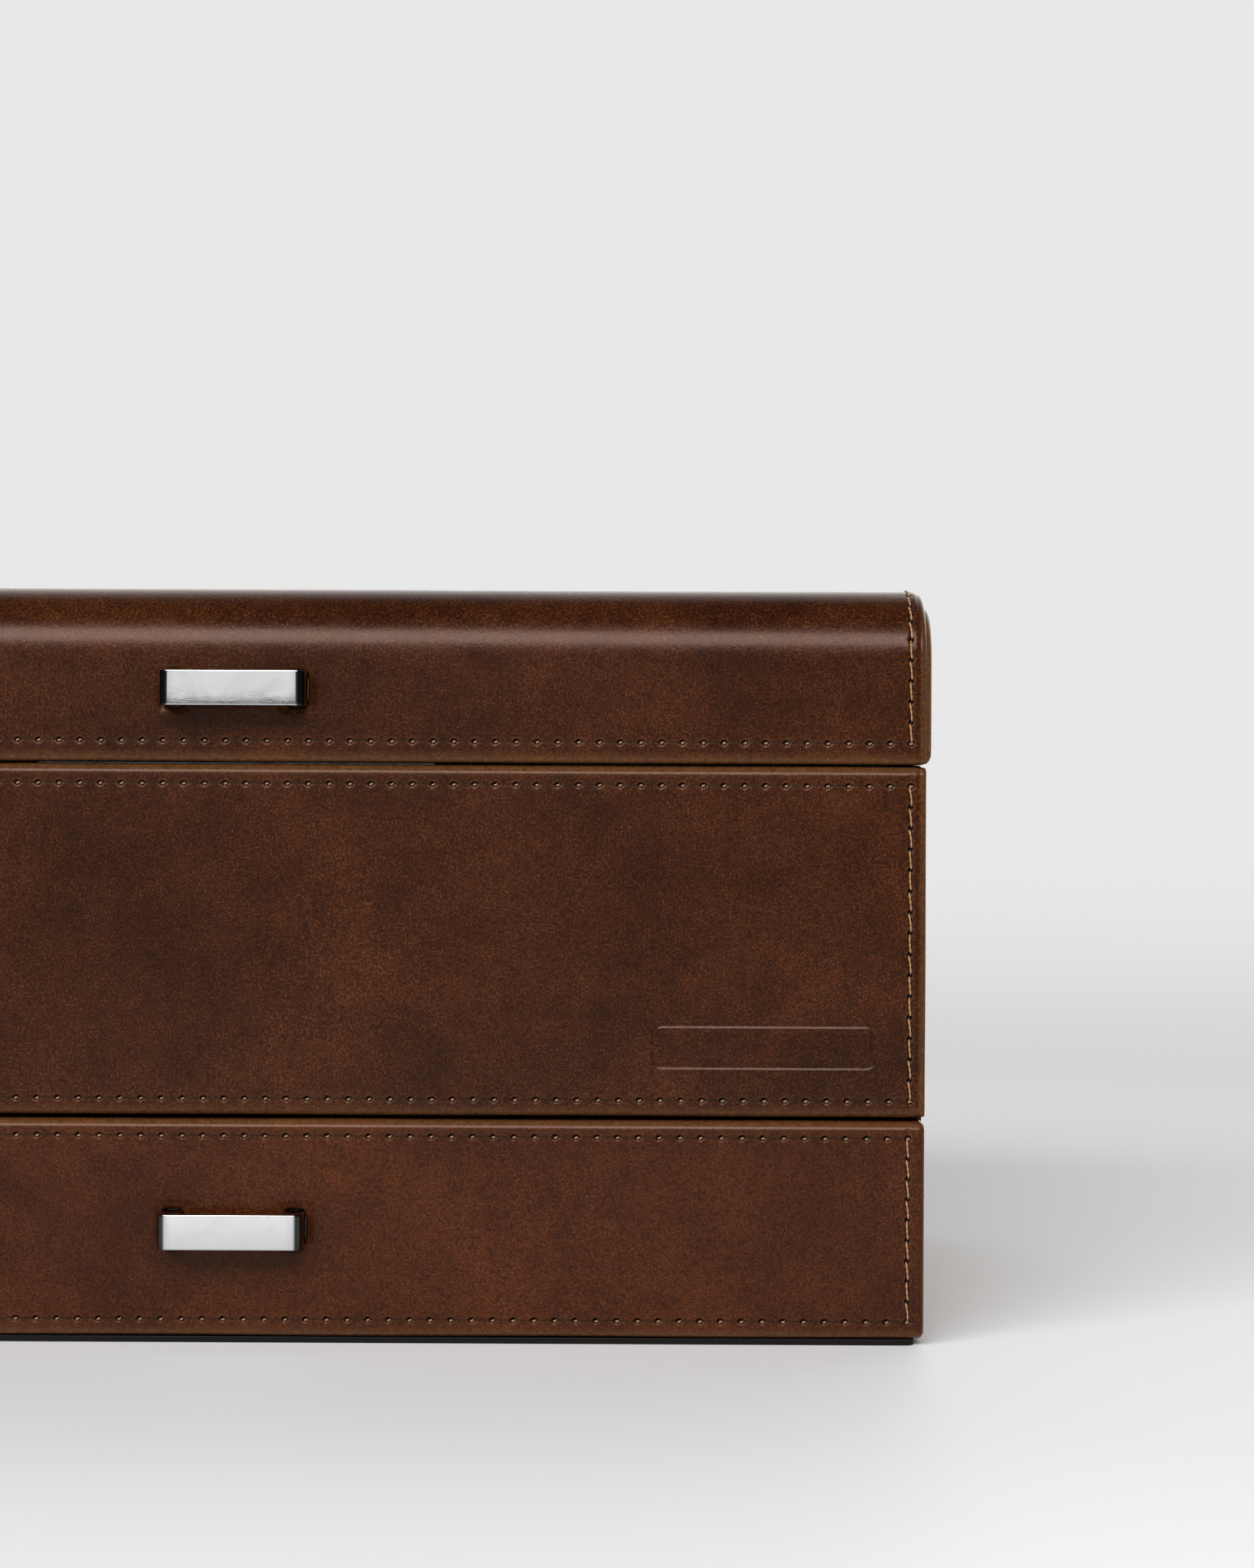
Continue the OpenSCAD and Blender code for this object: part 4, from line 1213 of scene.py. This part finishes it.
def seam_net(name, covers):
    """A mesh whose points are the stitch holes and whose edges are the stitches of some covers."""
    bm = bmesh.new()
    out_layer = bm.verts.layers.float_vector.new("out")
    along_layer = bm.verts.layers.float_vector.new("along")
    shown_layer = bm.verts.layers.float.new("shown")
    for cover in covers:
        sewing = cover.stitching
        lines = [([(u, row) for u in sewing.row_holes()], 0.0) for row in sewing.rows]
        lines += [([(column, v) for v in sewing.column_holes()], 1.0) for column in sewing.columns]
        for places, shown in lines:
            last = None
            for k, (u, v) in enumerate(places):
                if cover.left_out(u, v):
                    last = None
                    continue
                ahead = places[min(k + 1, len(places) - 1)]
                behind = places[max(k - 1, 0)]
                spot = [cover.place(a, cover.section.at(b)[0]) for a, b in (behind, (u, v), ahead)]
                out = cover.section.at(v)[1]
                depth = sum(sink(u, v, out) for sink in cover.sink)
                tip = cover.place(u, cover.section.at(v, depth)[0])
                vertex = bm.verts.new(tip)
                vertex[out_layer] = cover.place(u, cover.section.at(v, -1.0)[0]) - cover.place(
                    u, cover.section.at(v, 0.0)[0])
                vertex[along_layer] = (spot[2] - spot[0]).normalized()
                vertex[shown_layer] = shown
                if last:
                    bm.edges.new((last, vertex))
                last = vertex
    return poured(name, bm)


class Net(Tree):
    """A Geometry Nodes tree under construction."""

    def __init__(self, name):
        super().__init__(bpy.data.node_groups.new(name, "GeometryNodeTree"))
        for way in ("INPUT", "OUTPUT"):
            self.tree.interface.new_socket("Geometry", in_out=way, socket_type="NodeSocketGeometry")
        self.entry = self.tree.nodes.new("NodeGroupInput")
        self.leave = self.tree.nodes.new("NodeGroupOutput")

    def size(self, name, kind, default):
        """A named input of the tree."""
        socket = self.tree.interface.new_socket(name, in_out="INPUT", socket_type=kind)
        socket.default_value = default
        return self.entry.outputs[name]

    def stored(self, name, kind="FLOAT_VECTOR"):
        """A value kept on the mesh."""
        return self.node("GeometryNodeInputNamedAttribute", {"Name": name}, data_type=kind).outputs[0]

    def vector(self, x, y, z):
        return self.node("ShaderNodeCombineXYZ", {"X": x, "Y": y, "Z": z}).outputs[0]


def stitch_tree():
    """Lays a twisted two-strand thread from hole to hole, and a thread's end in each sunk hole."""
    net = Net("Stitches")
    pitch = net.size("Stitch Length", "NodeSocketFloat", 4.5 * MM)
    strand = net.size("Strand Thickness", "NodeSocketFloat", 0.27 * MM)
    rise = net.size("Rise", "NodeSocketFloat", 0.20 * MM)
    slant = net.size("Slant", "NodeSocketFloat", 0.10)
    seed = net.size("Seed", "NodeSocketInt", 7)
    geometry = net.entry.outputs["Geometry"]
    length = net.times(pitch, 0.86)
    spiral = net.node("GeometryNodeCurveSpiral", {
        "Resolution": 7, "Rotations": 1.6, "Start Radius": net.times(strand, 0.42),
        "End Radius": net.times(strand, 0.42), "Height": length}).outputs[0]
    turned = net.node("GeometryNodeTransform", {"Geometry": spiral, "Rotation": (0, 0, math.pi)}).outputs[0]
    pair = net.node("GeometryNodeJoinGeometry")
    for part in (spiral, turned):
        net.tree.links.new(part, pair.inputs[0])
    place = net.node("GeometryNodeInputPosition").outputs[0]
    split = net.node("ShaderNodeSeparateXYZ", {0: place})
    share = net.math("SUBTRACT", net.math("DIVIDE", split.outputs[2], length), 0.5)
    arched = net.math("SUBTRACT", rise, net.times(net.times(share, share), net.times(rise, 7.0)))
    lift = net.vector(arched, 0.0, net.times(length, -0.5))
    bowed = net.node("GeometryNodeSetPosition", {"Geometry": pair.outputs[0], "Offset": lift}).outputs[0]
    ring = net.node("GeometryNodeCurvePrimitiveCircle", {
        "Resolution": 5, "Radius": net.times(strand, 0.5)}).outputs[0]
    thread = net.node("GeometryNodeCurveToMesh", {
        "Curve": bowed, "Profile Curve": ring, "Fill Caps": True}).outputs[0]
    shown = net.stored("shown", "FLOAT")
    long_way = net.node("FunctionNodeAlignRotationToVector", {"Vector": net.stored("along")}, axis="Z")
    facing = net.node("FunctionNodeAlignRotationToVector", {
        "Rotation": long_way.outputs[0], "Vector": net.stored("out")}, axis="X", pivot_axis="Z")
    parts = net.node("GeometryNodeJoinGeometry")
    for mode, test, scale, shift, tilt in (
            ("EDGES", "GREATER_THAN", (1, 1, 1), (0, 0, 0), slant),
            ("VERTICES", "LESS_THAN", (1.25, 1.25, 0.19), (-0.04 * MM, 0.12 * MM, 0.34 * MM), 0.4)):
        chosen = net.math(test, shown, 0.5)
        points = net.node("GeometryNodeMeshToPoints", {"Mesh": geometry, "Selection": chosen}, mode=mode)
        laid = net.node("GeometryNodeInstanceOnPoints", {
            "Points": points.outputs[0], "Instance": thread, "Rotation": facing.outputs[0], "Scale": scale})
        wander = net.node("FunctionNodeRandomValue", {2: -0.05, 3: 0.05, "Seed": seed}, data_type="FLOAT")
        lean = net.vector(net.plus(tilt, wander.outputs[1]), 0.0, net.times(wander.outputs[1], 9.0))
        leaning = net.node("GeometryNodeRotateInstances", {"Instances": laid.outputs[0], "Rotation": lean})
        moved = net.node("GeometryNodeTranslateInstances", {
            "Instances": leaning.outputs[0], "Translation": shift})
        net.tree.links.new(moved.outputs[0], parts.inputs[0])
    real = net.node("GeometryNodeRealizeInstances", {"Geometry": parts.outputs[0]}).outputs[0]
    dressed = net.node("GeometryNodeSetMaterial", {"Geometry": real, "Material": FINISH["thread"]}).outputs[0]
    net.tree.links.new(dressed, net.leave.inputs[0])
    return net.tree


def stitches(body, tree):
    """Sews one body's covers and leaves a plain mesh of thread."""
    s = bpy.context.scene.case_leather
    obj = seam_net("stitches_" + body, SEWN[body])
    sewing = obj.modifiers.new("Stitches", "NODES")
    sewing.node_group = tree
    values = {"Stitch Length": s.pitch, "Strand Thickness": s.thread, "Seed": s.seed}
    for item in tree.interface.items_tree:
        if item.in_out == "INPUT" and item.name in values:
            sewing[item.identifier] = values[item.name]
    finished(obj)
    smooth(obj, 50)
    belong(obj, body)


# ---- Pulls ----


def bow(centre_x, centre_y, radius, start, end, steps=10):
    """Points of an arc in (X, Y), with angles in degrees."""
    turns = [math.radians(start + (end - start) * k / steps) for k in range(steps + 1)]
    return [Vector((centre_x + radius * math.cos(t), centre_y + radius * math.sin(t))) for t in turns]


def pull(name, node, body):
    """A bar on two legs: rounded corners, softly rounded edges and slightly swollen faces, with painted dark
    reflections on its turned ends and lower edge.
    """
    s, leather = bpy.context.scene.case_fittings, bpy.context.scene.case_leather
    a, b = low(node), high(node)
    half, leg, corner = b.x, leather.leg, s.pull_corner
    outline = [Vector((-half, b.y))] + bow(-half + corner, a.y + corner, corner, 180, 270)
    outline += [Vector((x, a.y)) for x in spread(-half + corner, half - corner, 1.6 * MM)[1:-1]]
    outline += bow(half - corner, a.y + corner, corner, 270, 360) + [Vector((half, b.y))]
    inner, bar, turn = half - leg, a.y + s.pull_bar, 1.5 * MM
    outline += [Vector((inner, b.y))] + bow(inner - turn, bar + turn, turn, 0, -90, 6)
    outline += bow(-inner + turn, bar + turn, turn, 270, 180, 6) + [Vector((-inner, b.y))]
    ways = []
    for k, point in enumerate(outline):
        before = (point - outline[k - 1]).normalized()
        after = (outline[(k + 1) % len(outline)] - point).normalized()
        along = before + after
        ways.append(Vector((along.y, -along.x)).normalized())
    middle, half_h, r = (a.z + b.z) / 2, (b.z - a.z) / 2, s.pull_round
    levels = [-half_h + r * (1 - math.cos(math.radians(d))) for d in (0, 15, 30, 45, 60, 75, 90)]
    levels += [(-half_h + r) * share for share in (0.97, 0.88, 0.6, 0.2)]
    levels += [-z for z in reversed(levels)]
    rings = []
    for z in levels:
        over = max(0.0, abs(z) - (half_h - r))
        inset = r - math.sqrt(max(0.0, r * r - over * over)) + s.pull_crown * (z / half_h) ** 2
        rings.append([Vector((*(p - way * inset), middle + z)) for p, way in zip(outline, ways)])
    piece = lofted(name, rings, [FINISH["chrome"]])
    shade = piece.data.attributes["shade"].data
    # Painted dark reflection: the shade attribute darkens the bar where it turns to its ends and along its
    # lower edge.
    for k, vertex in enumerate(piece.data.vertices):
        turned = min(1.0, 3.6 * abs(ways[k % len(ways)].x))
        below = 0.8 * max(0.0, 1 - (vertex.co.z - a.z) / (1.1 * r))
        shade[k].color = (0.0, min(1.0, max(turned, below)), 0.0, 1.0)
    smooth(piece, 38)
    belong(piece, body, [node])


# ---- Inside the case ----


def linings():
    """The suede-covered walls, floors and dividers of the compartment and the drawer."""
    for body, name, node, radius in (
            ("case", "liner_floor", "liner_floor", 0.4), ("case", "liner_front", "liner_front", 0.5),
            ("case", "liner_back", "liner_back", 0.5), ("case", "liner_left", "liner_left", 0.5),
            ("case", "liner_right", "liner_right", 0.5), ("case", "long_divider", "long_divider", 1.3),
            ("case", "cross_dividers", "cross_dividers", 1.3), ("case", "ring_base", "ring_base", 1.6),
            ("lid", "lid_frame", "lid_frame_lining", 0.4), ("drawer", "drawer_liner", "drawer_liner", 0.7),
            ("drawer", "drawer_dividers", "drawer_dividers", 1.3),
            ("drawer", "drawer_cross_divider", "drawer_cross_divider", 1.3)):
        softened("lined_" + name, node, "suede", radius * MM, body)


def lid_cushion():
    """The padded suede panel under the lid's top, with a channel along its border."""
    a, b = low("lid_pad"), high("lid_pad")
    corner = 4 * MM
    section = Section([(0, a.y), (a.x, a.y), (a.x, b.y), (b.x, b.y), (b.x, a.y), (0, a.y)], [corner] * 4)
    ring = section.ring(7 * MM, math.radians(12))
    middle = (a.y + b.y) / 2
    span = (b.y - a.y) / 2
    rings = [[Vector((p.x, p.y, b.z)) for p in ring]]
    for inset in (0, 0.6, 1.6, 3.4, 6, 8.2, 9.0, 9.4, 9.8, 10.6, 12.8, 17, 24, 36, 52, 70, 84, 91):
        channel = 1.9 * bell(inset - 9.4, 0.9)
        border = 1.7 * bell(inset, 2.6) + channel + 0.9 * bell(inset, 16) + 0.4 * bell(inset, 45)
        z = a.z + border * MM
        new = []
        for point in ring:
            p = drawn_in(point, inset * MM / span, a.x + span, b.x - span, middle)
            ripple = 0.5 * MM * noise.noise(Vector((p.x / 0.06, p.y / 0.06, 3.0))) * min(1.0, inset / 20)
            new.append(Vector((p.x, p.y, z + abs(ripple))))
        rings.append(new)
    piece = lofted("lid_cushion", rings, [FINISH["pillow_suede"]])
    smooth(piece, 70)
    belong(piece, "lid", ["lid_pad"])


FRAMES = 20             # steps of the pillows' stuffing
PILLOW_NET = 4.5 * MM   # distance between the points of a pillow that is stuffed
EMPTY = 0.93            # a pillow's size before it is stuffed, as a share of its size
SEAM_AT = 0.36          # from a pillow's middle to its seams, as a share of its length
SPILL = 3 * MM          # most that a pillow may swell past its ends and sides
PIPE_POINTS = 72        # points along the piping
PIPE_SIDES = 8          # points around the piping
ROLL_SIDES = 28         # points around a ring roll


def stuffed(obj, pressure, cap):
    """Swells a closed skin with its stuffing; no point moves further than the cap."""
    scene = bpy.context.scene
    before = [v.co.copy() for v in obj.data.vertices]
    cloth = obj.modifiers.new("Stuffing", "CLOTH")
    cloth.settings.effector_weights.gravity = 0
    cloth.settings.use_pressure = True
    cloth.settings.uniform_pressure_force = pressure
    cloth.settings.tension_stiffness = 12
    cloth.settings.compression_stiffness = 12
    cloth.settings.bending_stiffness = 0.6
    cloth.point_cache.frame_start, cloth.point_cache.frame_end = 1, FRAMES
    for number in range(1, FRAMES + 1):
        scene.frame_set(number)
        bpy.context.view_layer.update()
    finished(obj)
    scene.frame_set(1)
    for vertex, start in zip(obj.data.vertices, before):
        moved = vertex.co - start
        if moved.length > cap:
            vertex.co = start + moved * (cap / moved.length)
    return obj


def pillow(number):
    """One stuffed pillow, with piping around its two ends and a soft dent on top."""
    s = bpy.context.scene.case_lining
    node = "pillow_%d" % number
    a, b = low(node), high(node)
    centre, size = (a + b) / 2, b - a
    bm = tidy_copy(node)
    for vertex in bm.verts:
        vertex.co = centre + (vertex.co - centre) * EMPTY
    obj = poured("stuffed_pillow_%d" % number, bm)
    even = obj.modifiers.new("Net", "REMESH")
    even.mode = "VOXEL"
    even.voxel_size = PILLOW_NET
    finished(obj)
    stuffed(obj, s.pillow_pressure, s.pillow_swell)
    finer = obj.modifiers.new("Finer", "SUBSURF")
    finer.levels = finer.render_levels = 2
    finished(obj)
    seams = [centre.x - size.x * SEAM_AT, centre.x + size.x * SEAM_AT]
    for vertex in obj.data.vertices:
        p = vertex.co
        spoke = Vector((0, p.y - centre.y, p.z - centre.z))
        pinch = sum(bell(p.x - seam, 2.2 * MM) for seam in seams)
        ease = noise.noise(Vector((p.x / 0.022, p.y / 0.022, p.z / 0.022 + number * 9)))
        vertex.co = p - spoke.normalized() * (1.3 * MM * pinch + 0.5 * MM * ease)
        dent = bell((p - Vector((centre.x, centre.y - 4 * MM, b.z))).length, 20 * MM)
        vertex.co.z = max(a.z, min(b.z, vertex.co.z - 2.2 * MM * dent))
        vertex.co.x = min(max(vertex.co.x, a.x - SPILL), b.x + SPILL)
        vertex.co.y = min(max(vertex.co.y, a.y - SPILL), b.y + SPILL)
    both = [FINISH["pillow_suede"], FINISH["piping"]]
    obj.data.materials.clear()
    for material in both:
        obj.data.materials.append(material)
    tree = BVHTree.FromObject(obj, bpy.context.evaluated_depsgraph_get())
    pipes = []
    for seam in seams:
        ring = []
        for k in range(PIPE_POINTS):
            turn = k * math.tau / PIPE_POINTS
            way = Vector((0, math.cos(turn), math.sin(turn)))
            hit = tree.ray_cast(Vector((seam, centre.y, centre.z)) + way * 0.2, -way)[0]
            hit.z = max(hit.z, a.z + s.piping / 2)
            ring.append(hit)
        pipes.append(ring)
    piping = tube_rings("piping_%d" % number, pipes, s.piping / 2, both)
    for face in piping.data.polygons:
        face.material_index = 1
    piece = joined([obj, piping])
    smooth(piece, 80)
    belong(piece, "case", [node])


def tube_rings(name, rings, radius, materials):
    """Closed tubes that follow rings of points in a plane across the case."""
    bm = bmesh.new()
    for ring in rings:
        middle = sum(ring, Vector()) / len(ring)
        loops = []
        for point in ring:
            out = (point - middle).normalized()
            loop = []
            for k in range(PIPE_SIDES):
                turn = k * math.tau / PIPE_SIDES
                side = out * math.cos(turn) * radius + Vector((math.sin(turn) * radius, 0, 0))
                loop.append(bm.verts.new(point + side))
            loops.append(loop)
        for i, loop in enumerate(loops):
            for k in range(PIPE_SIDES):
                bm.faces.new([loops[i - 1][k - 1], loops[i - 1][k], loop[k], loop[k - 1]])
    bmesh.ops.recalc_face_normals(bm, faces=bm.faces)
    return poured(name, bm, materials)


def ring_rolls():
    """Soft rolls side by side, which hold rings between them."""
    s = bpy.context.scene.case_lining
    a, b = low("ring_rolls"), high("ring_rolls")
    pitch = (b.y - a.y) / (s.rolls - 0.06)
    radius = pitch * 0.485
    centre_z = b.z - radius
    ends = (0.2, 0.45, 0.7, 0.88, 0.94, 0.975, 0.995, 1)
    rolls = []
    for n in range(s.rolls):
        y = a.y + radius + n * pitch
        rings = []
        for share in (*(-end for end in reversed(ends)), 0, *ends):
            x = (a.x + b.x) / 2 + share * (b.x - a.x) / 2
            full = (1 - abs(share) ** 14) ** 0.5 if abs(share) < 1 else 0.35
            full = max(0.35, full) - 0.02 * math.cos(share * 5 + n)
            rings.append([])
            for k in range(ROLL_SIDES):
                turn = k * math.tau / ROLL_SIDES
                seam = 0.7 * MM * bell((turn - math.pi * 0.95 + math.pi) % math.tau - math.pi, 0.12)
                soft = 0.25 * MM * noise.noise(Vector((x / 0.02, turn, n * 3.0)))
                r = radius * full - seam + soft
                z = centre_z + r * math.sin(turn)
                rings[-1].append(Vector((x, y + r * math.cos(turn), min(b.z, max(a.z, z)))))
        rolls.append(lofted("roll_%d" % n, rings, [FINISH["pillow_suede"]]))
    piece = joined(rolls)
    piece.name = "soft_ring_rolls"
    smooth(piece, 60)
    belong(piece, "case", ["ring_rolls"])


def drawer_boards():
    """The drawer's wooden sides, back and bottom, with eased edges."""
    for node, finish, radius in (
            ("drawer_side_left", "wood", 0.7), ("drawer_side_right", "wood", 0.7),
            ("drawer_back", "cross_wood", 0.7), ("drawer_bottom", "cross_wood", 0.4)):
        softened("wooden_" + node, node, finish, radius * MM, "drawer")


# ---- Stage ----


def aim(obj, target):
    """Turns a light or the camera towards a point."""
    obj.rotation_euler = (Vector(target) - obj.location).to_track_quat("-Z", "Y").to_euler()


def softbox(name, place, target, width, height, power):
    """A rectangular light, aimed at a point."""
    lamp = bpy.data.lights.new(name, "AREA")
    lamp.shape = "RECTANGLE"
    lamp.size, lamp.size_y, lamp.energy = width, height, power
    obj = bpy.data.objects.new(name, lamp)
    bpy.context.scene.collection.objects.link(obj)
    obj.location = place
    aim(obj, target)


CARD_WAY = Vector((-0.11, -0.99, 0.02))   # from the case to the white card beside the camera
KEY_WAY = -0.22                           # how far the softbox stands to the left
FLOOR_RADIUS = 9.0


def studio_world(backdrop):
    """Pale behind the case; the light from behind is stronger than from overhead and the sides."""
    world = bpy.data.worlds.new("Studio")
    bpy.context.scene.world = world
    world.use_nodes = True
    sky = Tree(world.node_tree)
    shown = sky.tree.nodes["Background"].outputs[0]
    sky.put(sky.tree.nodes["Background"].inputs["Color"], backdrop)
    way = sky.node("ShaderNodeTexCoord").outputs["Generated"]
    behind = sky.node("ShaderNodeSeparateXYZ", {0: way}).outputs[1]
    card = sky.node("ShaderNodeVectorMath", {0: way, 1: CARD_WAY.normalized()}, operation="DOT_PRODUCT")
    light = sky.plus(sky.ramp(behind, 0.34, 1.00, 0.10, 2.00),
                     sky.ramp(card.outputs["Value"], 0.978, 0.993, 0.0, 0.93))
    glow = sky.node("ShaderNodeBackground", {"Strength": light, "Color": (1.0, 0.985, 0.965)}).outputs[0]
    seen = sky.node("ShaderNodeLightPath").outputs["Is Camera Ray"]
    choose = sky.node("ShaderNodeMixShader", {0: seen, 1: glow, 2: shown})
    sky.put(sky.tree.nodes["World Output"].inputs["Surface"], choose.outputs[0])


def stage_floor(floor_colour, backdrop):
    """A pale floor that goes over to the backdrop's colour far from the case."""
    bm = bmesh.new()
    bmesh.ops.create_circle(bm, cap_ends=True, segments=64, radius=FLOOR_RADIUS)
    f = Finish("pale_floor")
    tone = f.blend(f.ramp(f.cloud(0.25, 2.0), 0.3, 0.7, 0.0, 1.0), dim(floor_colour, 0.985), floor_colour)
    f.steady(Base_Color=tone, Roughness=f.ramp(f.cloud(2 * MM), 0.3, 0.7, 0.55, 0.65),
             Specular_IOR_Level=0.25)
    far = f.node("ShaderNodeVectorMath", {0: f.place}, operation="LENGTH").outputs["Value"]
    away = f.ramp(f.math("DIVIDE", 1.0, far), 0.16, 1.7, 1.0, 0.0, interpolation_type="SMOOTHSTEP")
    seen = f.node("ShaderNodeLightPath").outputs["Is Camera Ray"]
    strength = f.ramp(seen, 0, 1, 0.15, 1.0)
    glow = f.node("ShaderNodeEmission", {"Color": backdrop, "Strength": strength}).outputs[0]
    mixed = f.node("ShaderNodeMixShader", {0: away, 1: f.shader.outputs[0], 2: glow})
    f.put(f.tree.nodes["Material Output"].inputs["Surface"], mixed.outputs[0])
    poured("floor", bm, [f.material])


def stage():
    """The floor, the surroundings, the softbox and the camera."""
    scene = bpy.context.scene
    s = scene.case_stage
    stage_floor(tuple(s.floor_colour), tuple(s.backdrop_colour))
    studio_world(tuple(s.backdrop_colour))
    middle = Vector((0.02, FRONT, 0.09))
    turn = math.radians(s.key_height)
    key = middle + Vector((KEY_WAY, -math.cos(turn), math.sin(turn))).normalized() * s.key_distance
    softbox("softbox", key, middle, s.key_distance * 1.25, s.key_distance * 0.40, s.key_power)
    camera = bpy.data.cameras.new("camera")
    camera.lens = s.lens
    camera.clip_start, camera.clip_end = 0.01, 50
    view = bpy.data.objects.new("camera", camera)
    scene.collection.objects.link(view)
    view.location = (s.camera_across, FRONT - s.distance, s.camera_up)
    view.rotation_euler = (math.radians(90), s.camera_roll, 0)
    scene.camera = view
    scene.view_settings.view_transform = "Standard"
    scene.view_settings.look = "None"


# ---- Operators and panel ----


class Maker:
    """What the case's operators share."""

    bl_options = {"REGISTER", "UNDO"}

    def execute(self, context):
        self.make()
        return {"FINISHED"}


class CASE_OT_finishes(Maker, bpy.types.Operator):
    """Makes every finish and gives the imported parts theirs"""

    bl_idname = "jewel_case.finishes"
    bl_label = "Finishes"

    def make(self):
        make_finishes()
        finish_nodes()


class CASE_OT_lid_cover(Maker, bpy.types.Operator):
    """Covers the lid in one wrap of leather"""

    bl_idname = "jewel_case.lid_cover"
    bl_label = "Lid cover"

    def make(self):
        lid_cover()


class CASE_OT_body_covers(Maker, bpy.types.Operator):
    """Covers the middle tier's front and the case's back"""

    bl_idname = "jewel_case.body_covers"
    bl_label = "Body covers"

    def make(self):
        body_front_cover()
        back_cover()


class CASE_OT_drawer_cover(Maker, bpy.types.Operator):
    """Covers the drawer front, turned over all its edges"""

    bl_idname = "jewel_case.drawer_cover"
    bl_label = "Drawer cover"

    def make(self):
        drawer_cover()


class CASE_OT_padded_ends(Maker, bpy.types.Operator):
    """Makes the padded leather ends of the case and the lid"""

    bl_idname = "jewel_case.padded_ends"
    bl_label = "Padded ends"

    def make(self):
        for side in SIDES:
            side_cover(side)
            lid_end(side)


class CASE_OT_stitches(Maker, bpy.types.Operator):
    """Sews the covers"""

    bl_idname = "jewel_case.stitches"
    bl_label = "Stitches"

    def make(self):
        tree = stitch_tree()
        for body in SEWN:
            stitches(body, tree)


class CASE_OT_pulls(Maker, bpy.types.Operator):
    """Makes the lid's and the drawer's pulls"""

    bl_idname = "jewel_case.pulls"
    bl_label = "Pulls"

    def make(self):
        pull("lid_pull", "lid_handle", "lid")
        pull("drawer_pull", "drawer_handle", "drawer")


class CASE_OT_linings(Maker, bpy.types.Operator):
    """Lines the compartment, the lid and the drawer in suede"""

    bl_idname = "jewel_case.linings"
    bl_label = "Linings"

    def make(self):
        linings()
        lid_cushion()


class CASE_OT_cushions(Maker, bpy.types.Operator):
    """Stuffs the pillows and makes the ring rolls"""

    bl_idname = "jewel_case.cushions"
    bl_label = "Pillows and ring rolls"

    def make(self):
        for number in range(1, 5):
            pillow(number)
        ring_rolls()


class CASE_OT_drawer_boards(Maker, bpy.types.Operator):
    """Makes the drawer's wooden boards"""

    bl_idname = "jewel_case.drawer_boards"
    bl_label = "Drawer boards"

    def make(self):
        drawer_boards()


class CASE_OT_stage(Maker, bpy.types.Operator):
    """Sets up the floor, the light and the camera"""

    bl_idname = "jewel_case.stage"
    bl_label = "Stage"

    def make(self):
        stage()


STEPS = [
    CASE_OT_finishes, CASE_OT_lid_cover, CASE_OT_body_covers, CASE_OT_drawer_cover, CASE_OT_padded_ends,
    CASE_OT_stitches, CASE_OT_pulls, CASE_OT_linings, CASE_OT_cushions, CASE_OT_drawer_boards, CASE_OT_stage,
]


class CASE_PT_panel(bpy.types.Panel):
    """Lists the case's pieces and their settings"""

    bl_idname = "CASE_PT_panel"
    bl_label = "Leather Jewellery Case"
    bl_space_type = "VIEW_3D"
    bl_region_type = "UI"
    bl_category = "Jewellery Case"

    def draw(self, context):
        layout = self.layout
        for step in STEPS:
            layout.operator(step.bl_idname)
        for name, group in SETTINGS.items():
            box = layout.box()
            for key in group.__annotations__:
                box.prop(getattr(context.scene, name), key)


def register():
    for group in SETTINGS.values():
        bpy.utils.register_class(group)
    for cls in (*STEPS, CASE_PT_panel):
        bpy.utils.register_class(cls)
    for name, group in SETTINGS.items():
        setattr(bpy.types.Scene, name, bpy.props.PointerProperty(type=group))


def unregister():
    for name in SETTINGS:
        delattr(bpy.types.Scene, name)
    for cls in (CASE_PT_panel, *reversed(STEPS), *SETTINGS.values()):
        bpy.utils.unregister_class(cls)


def main():
    register()
    for step in STEPS:
        family, name = step.bl_idname.split(".")
        getattr(getattr(bpy.ops, family), name)()


if __name__ == "__main__":
    main()
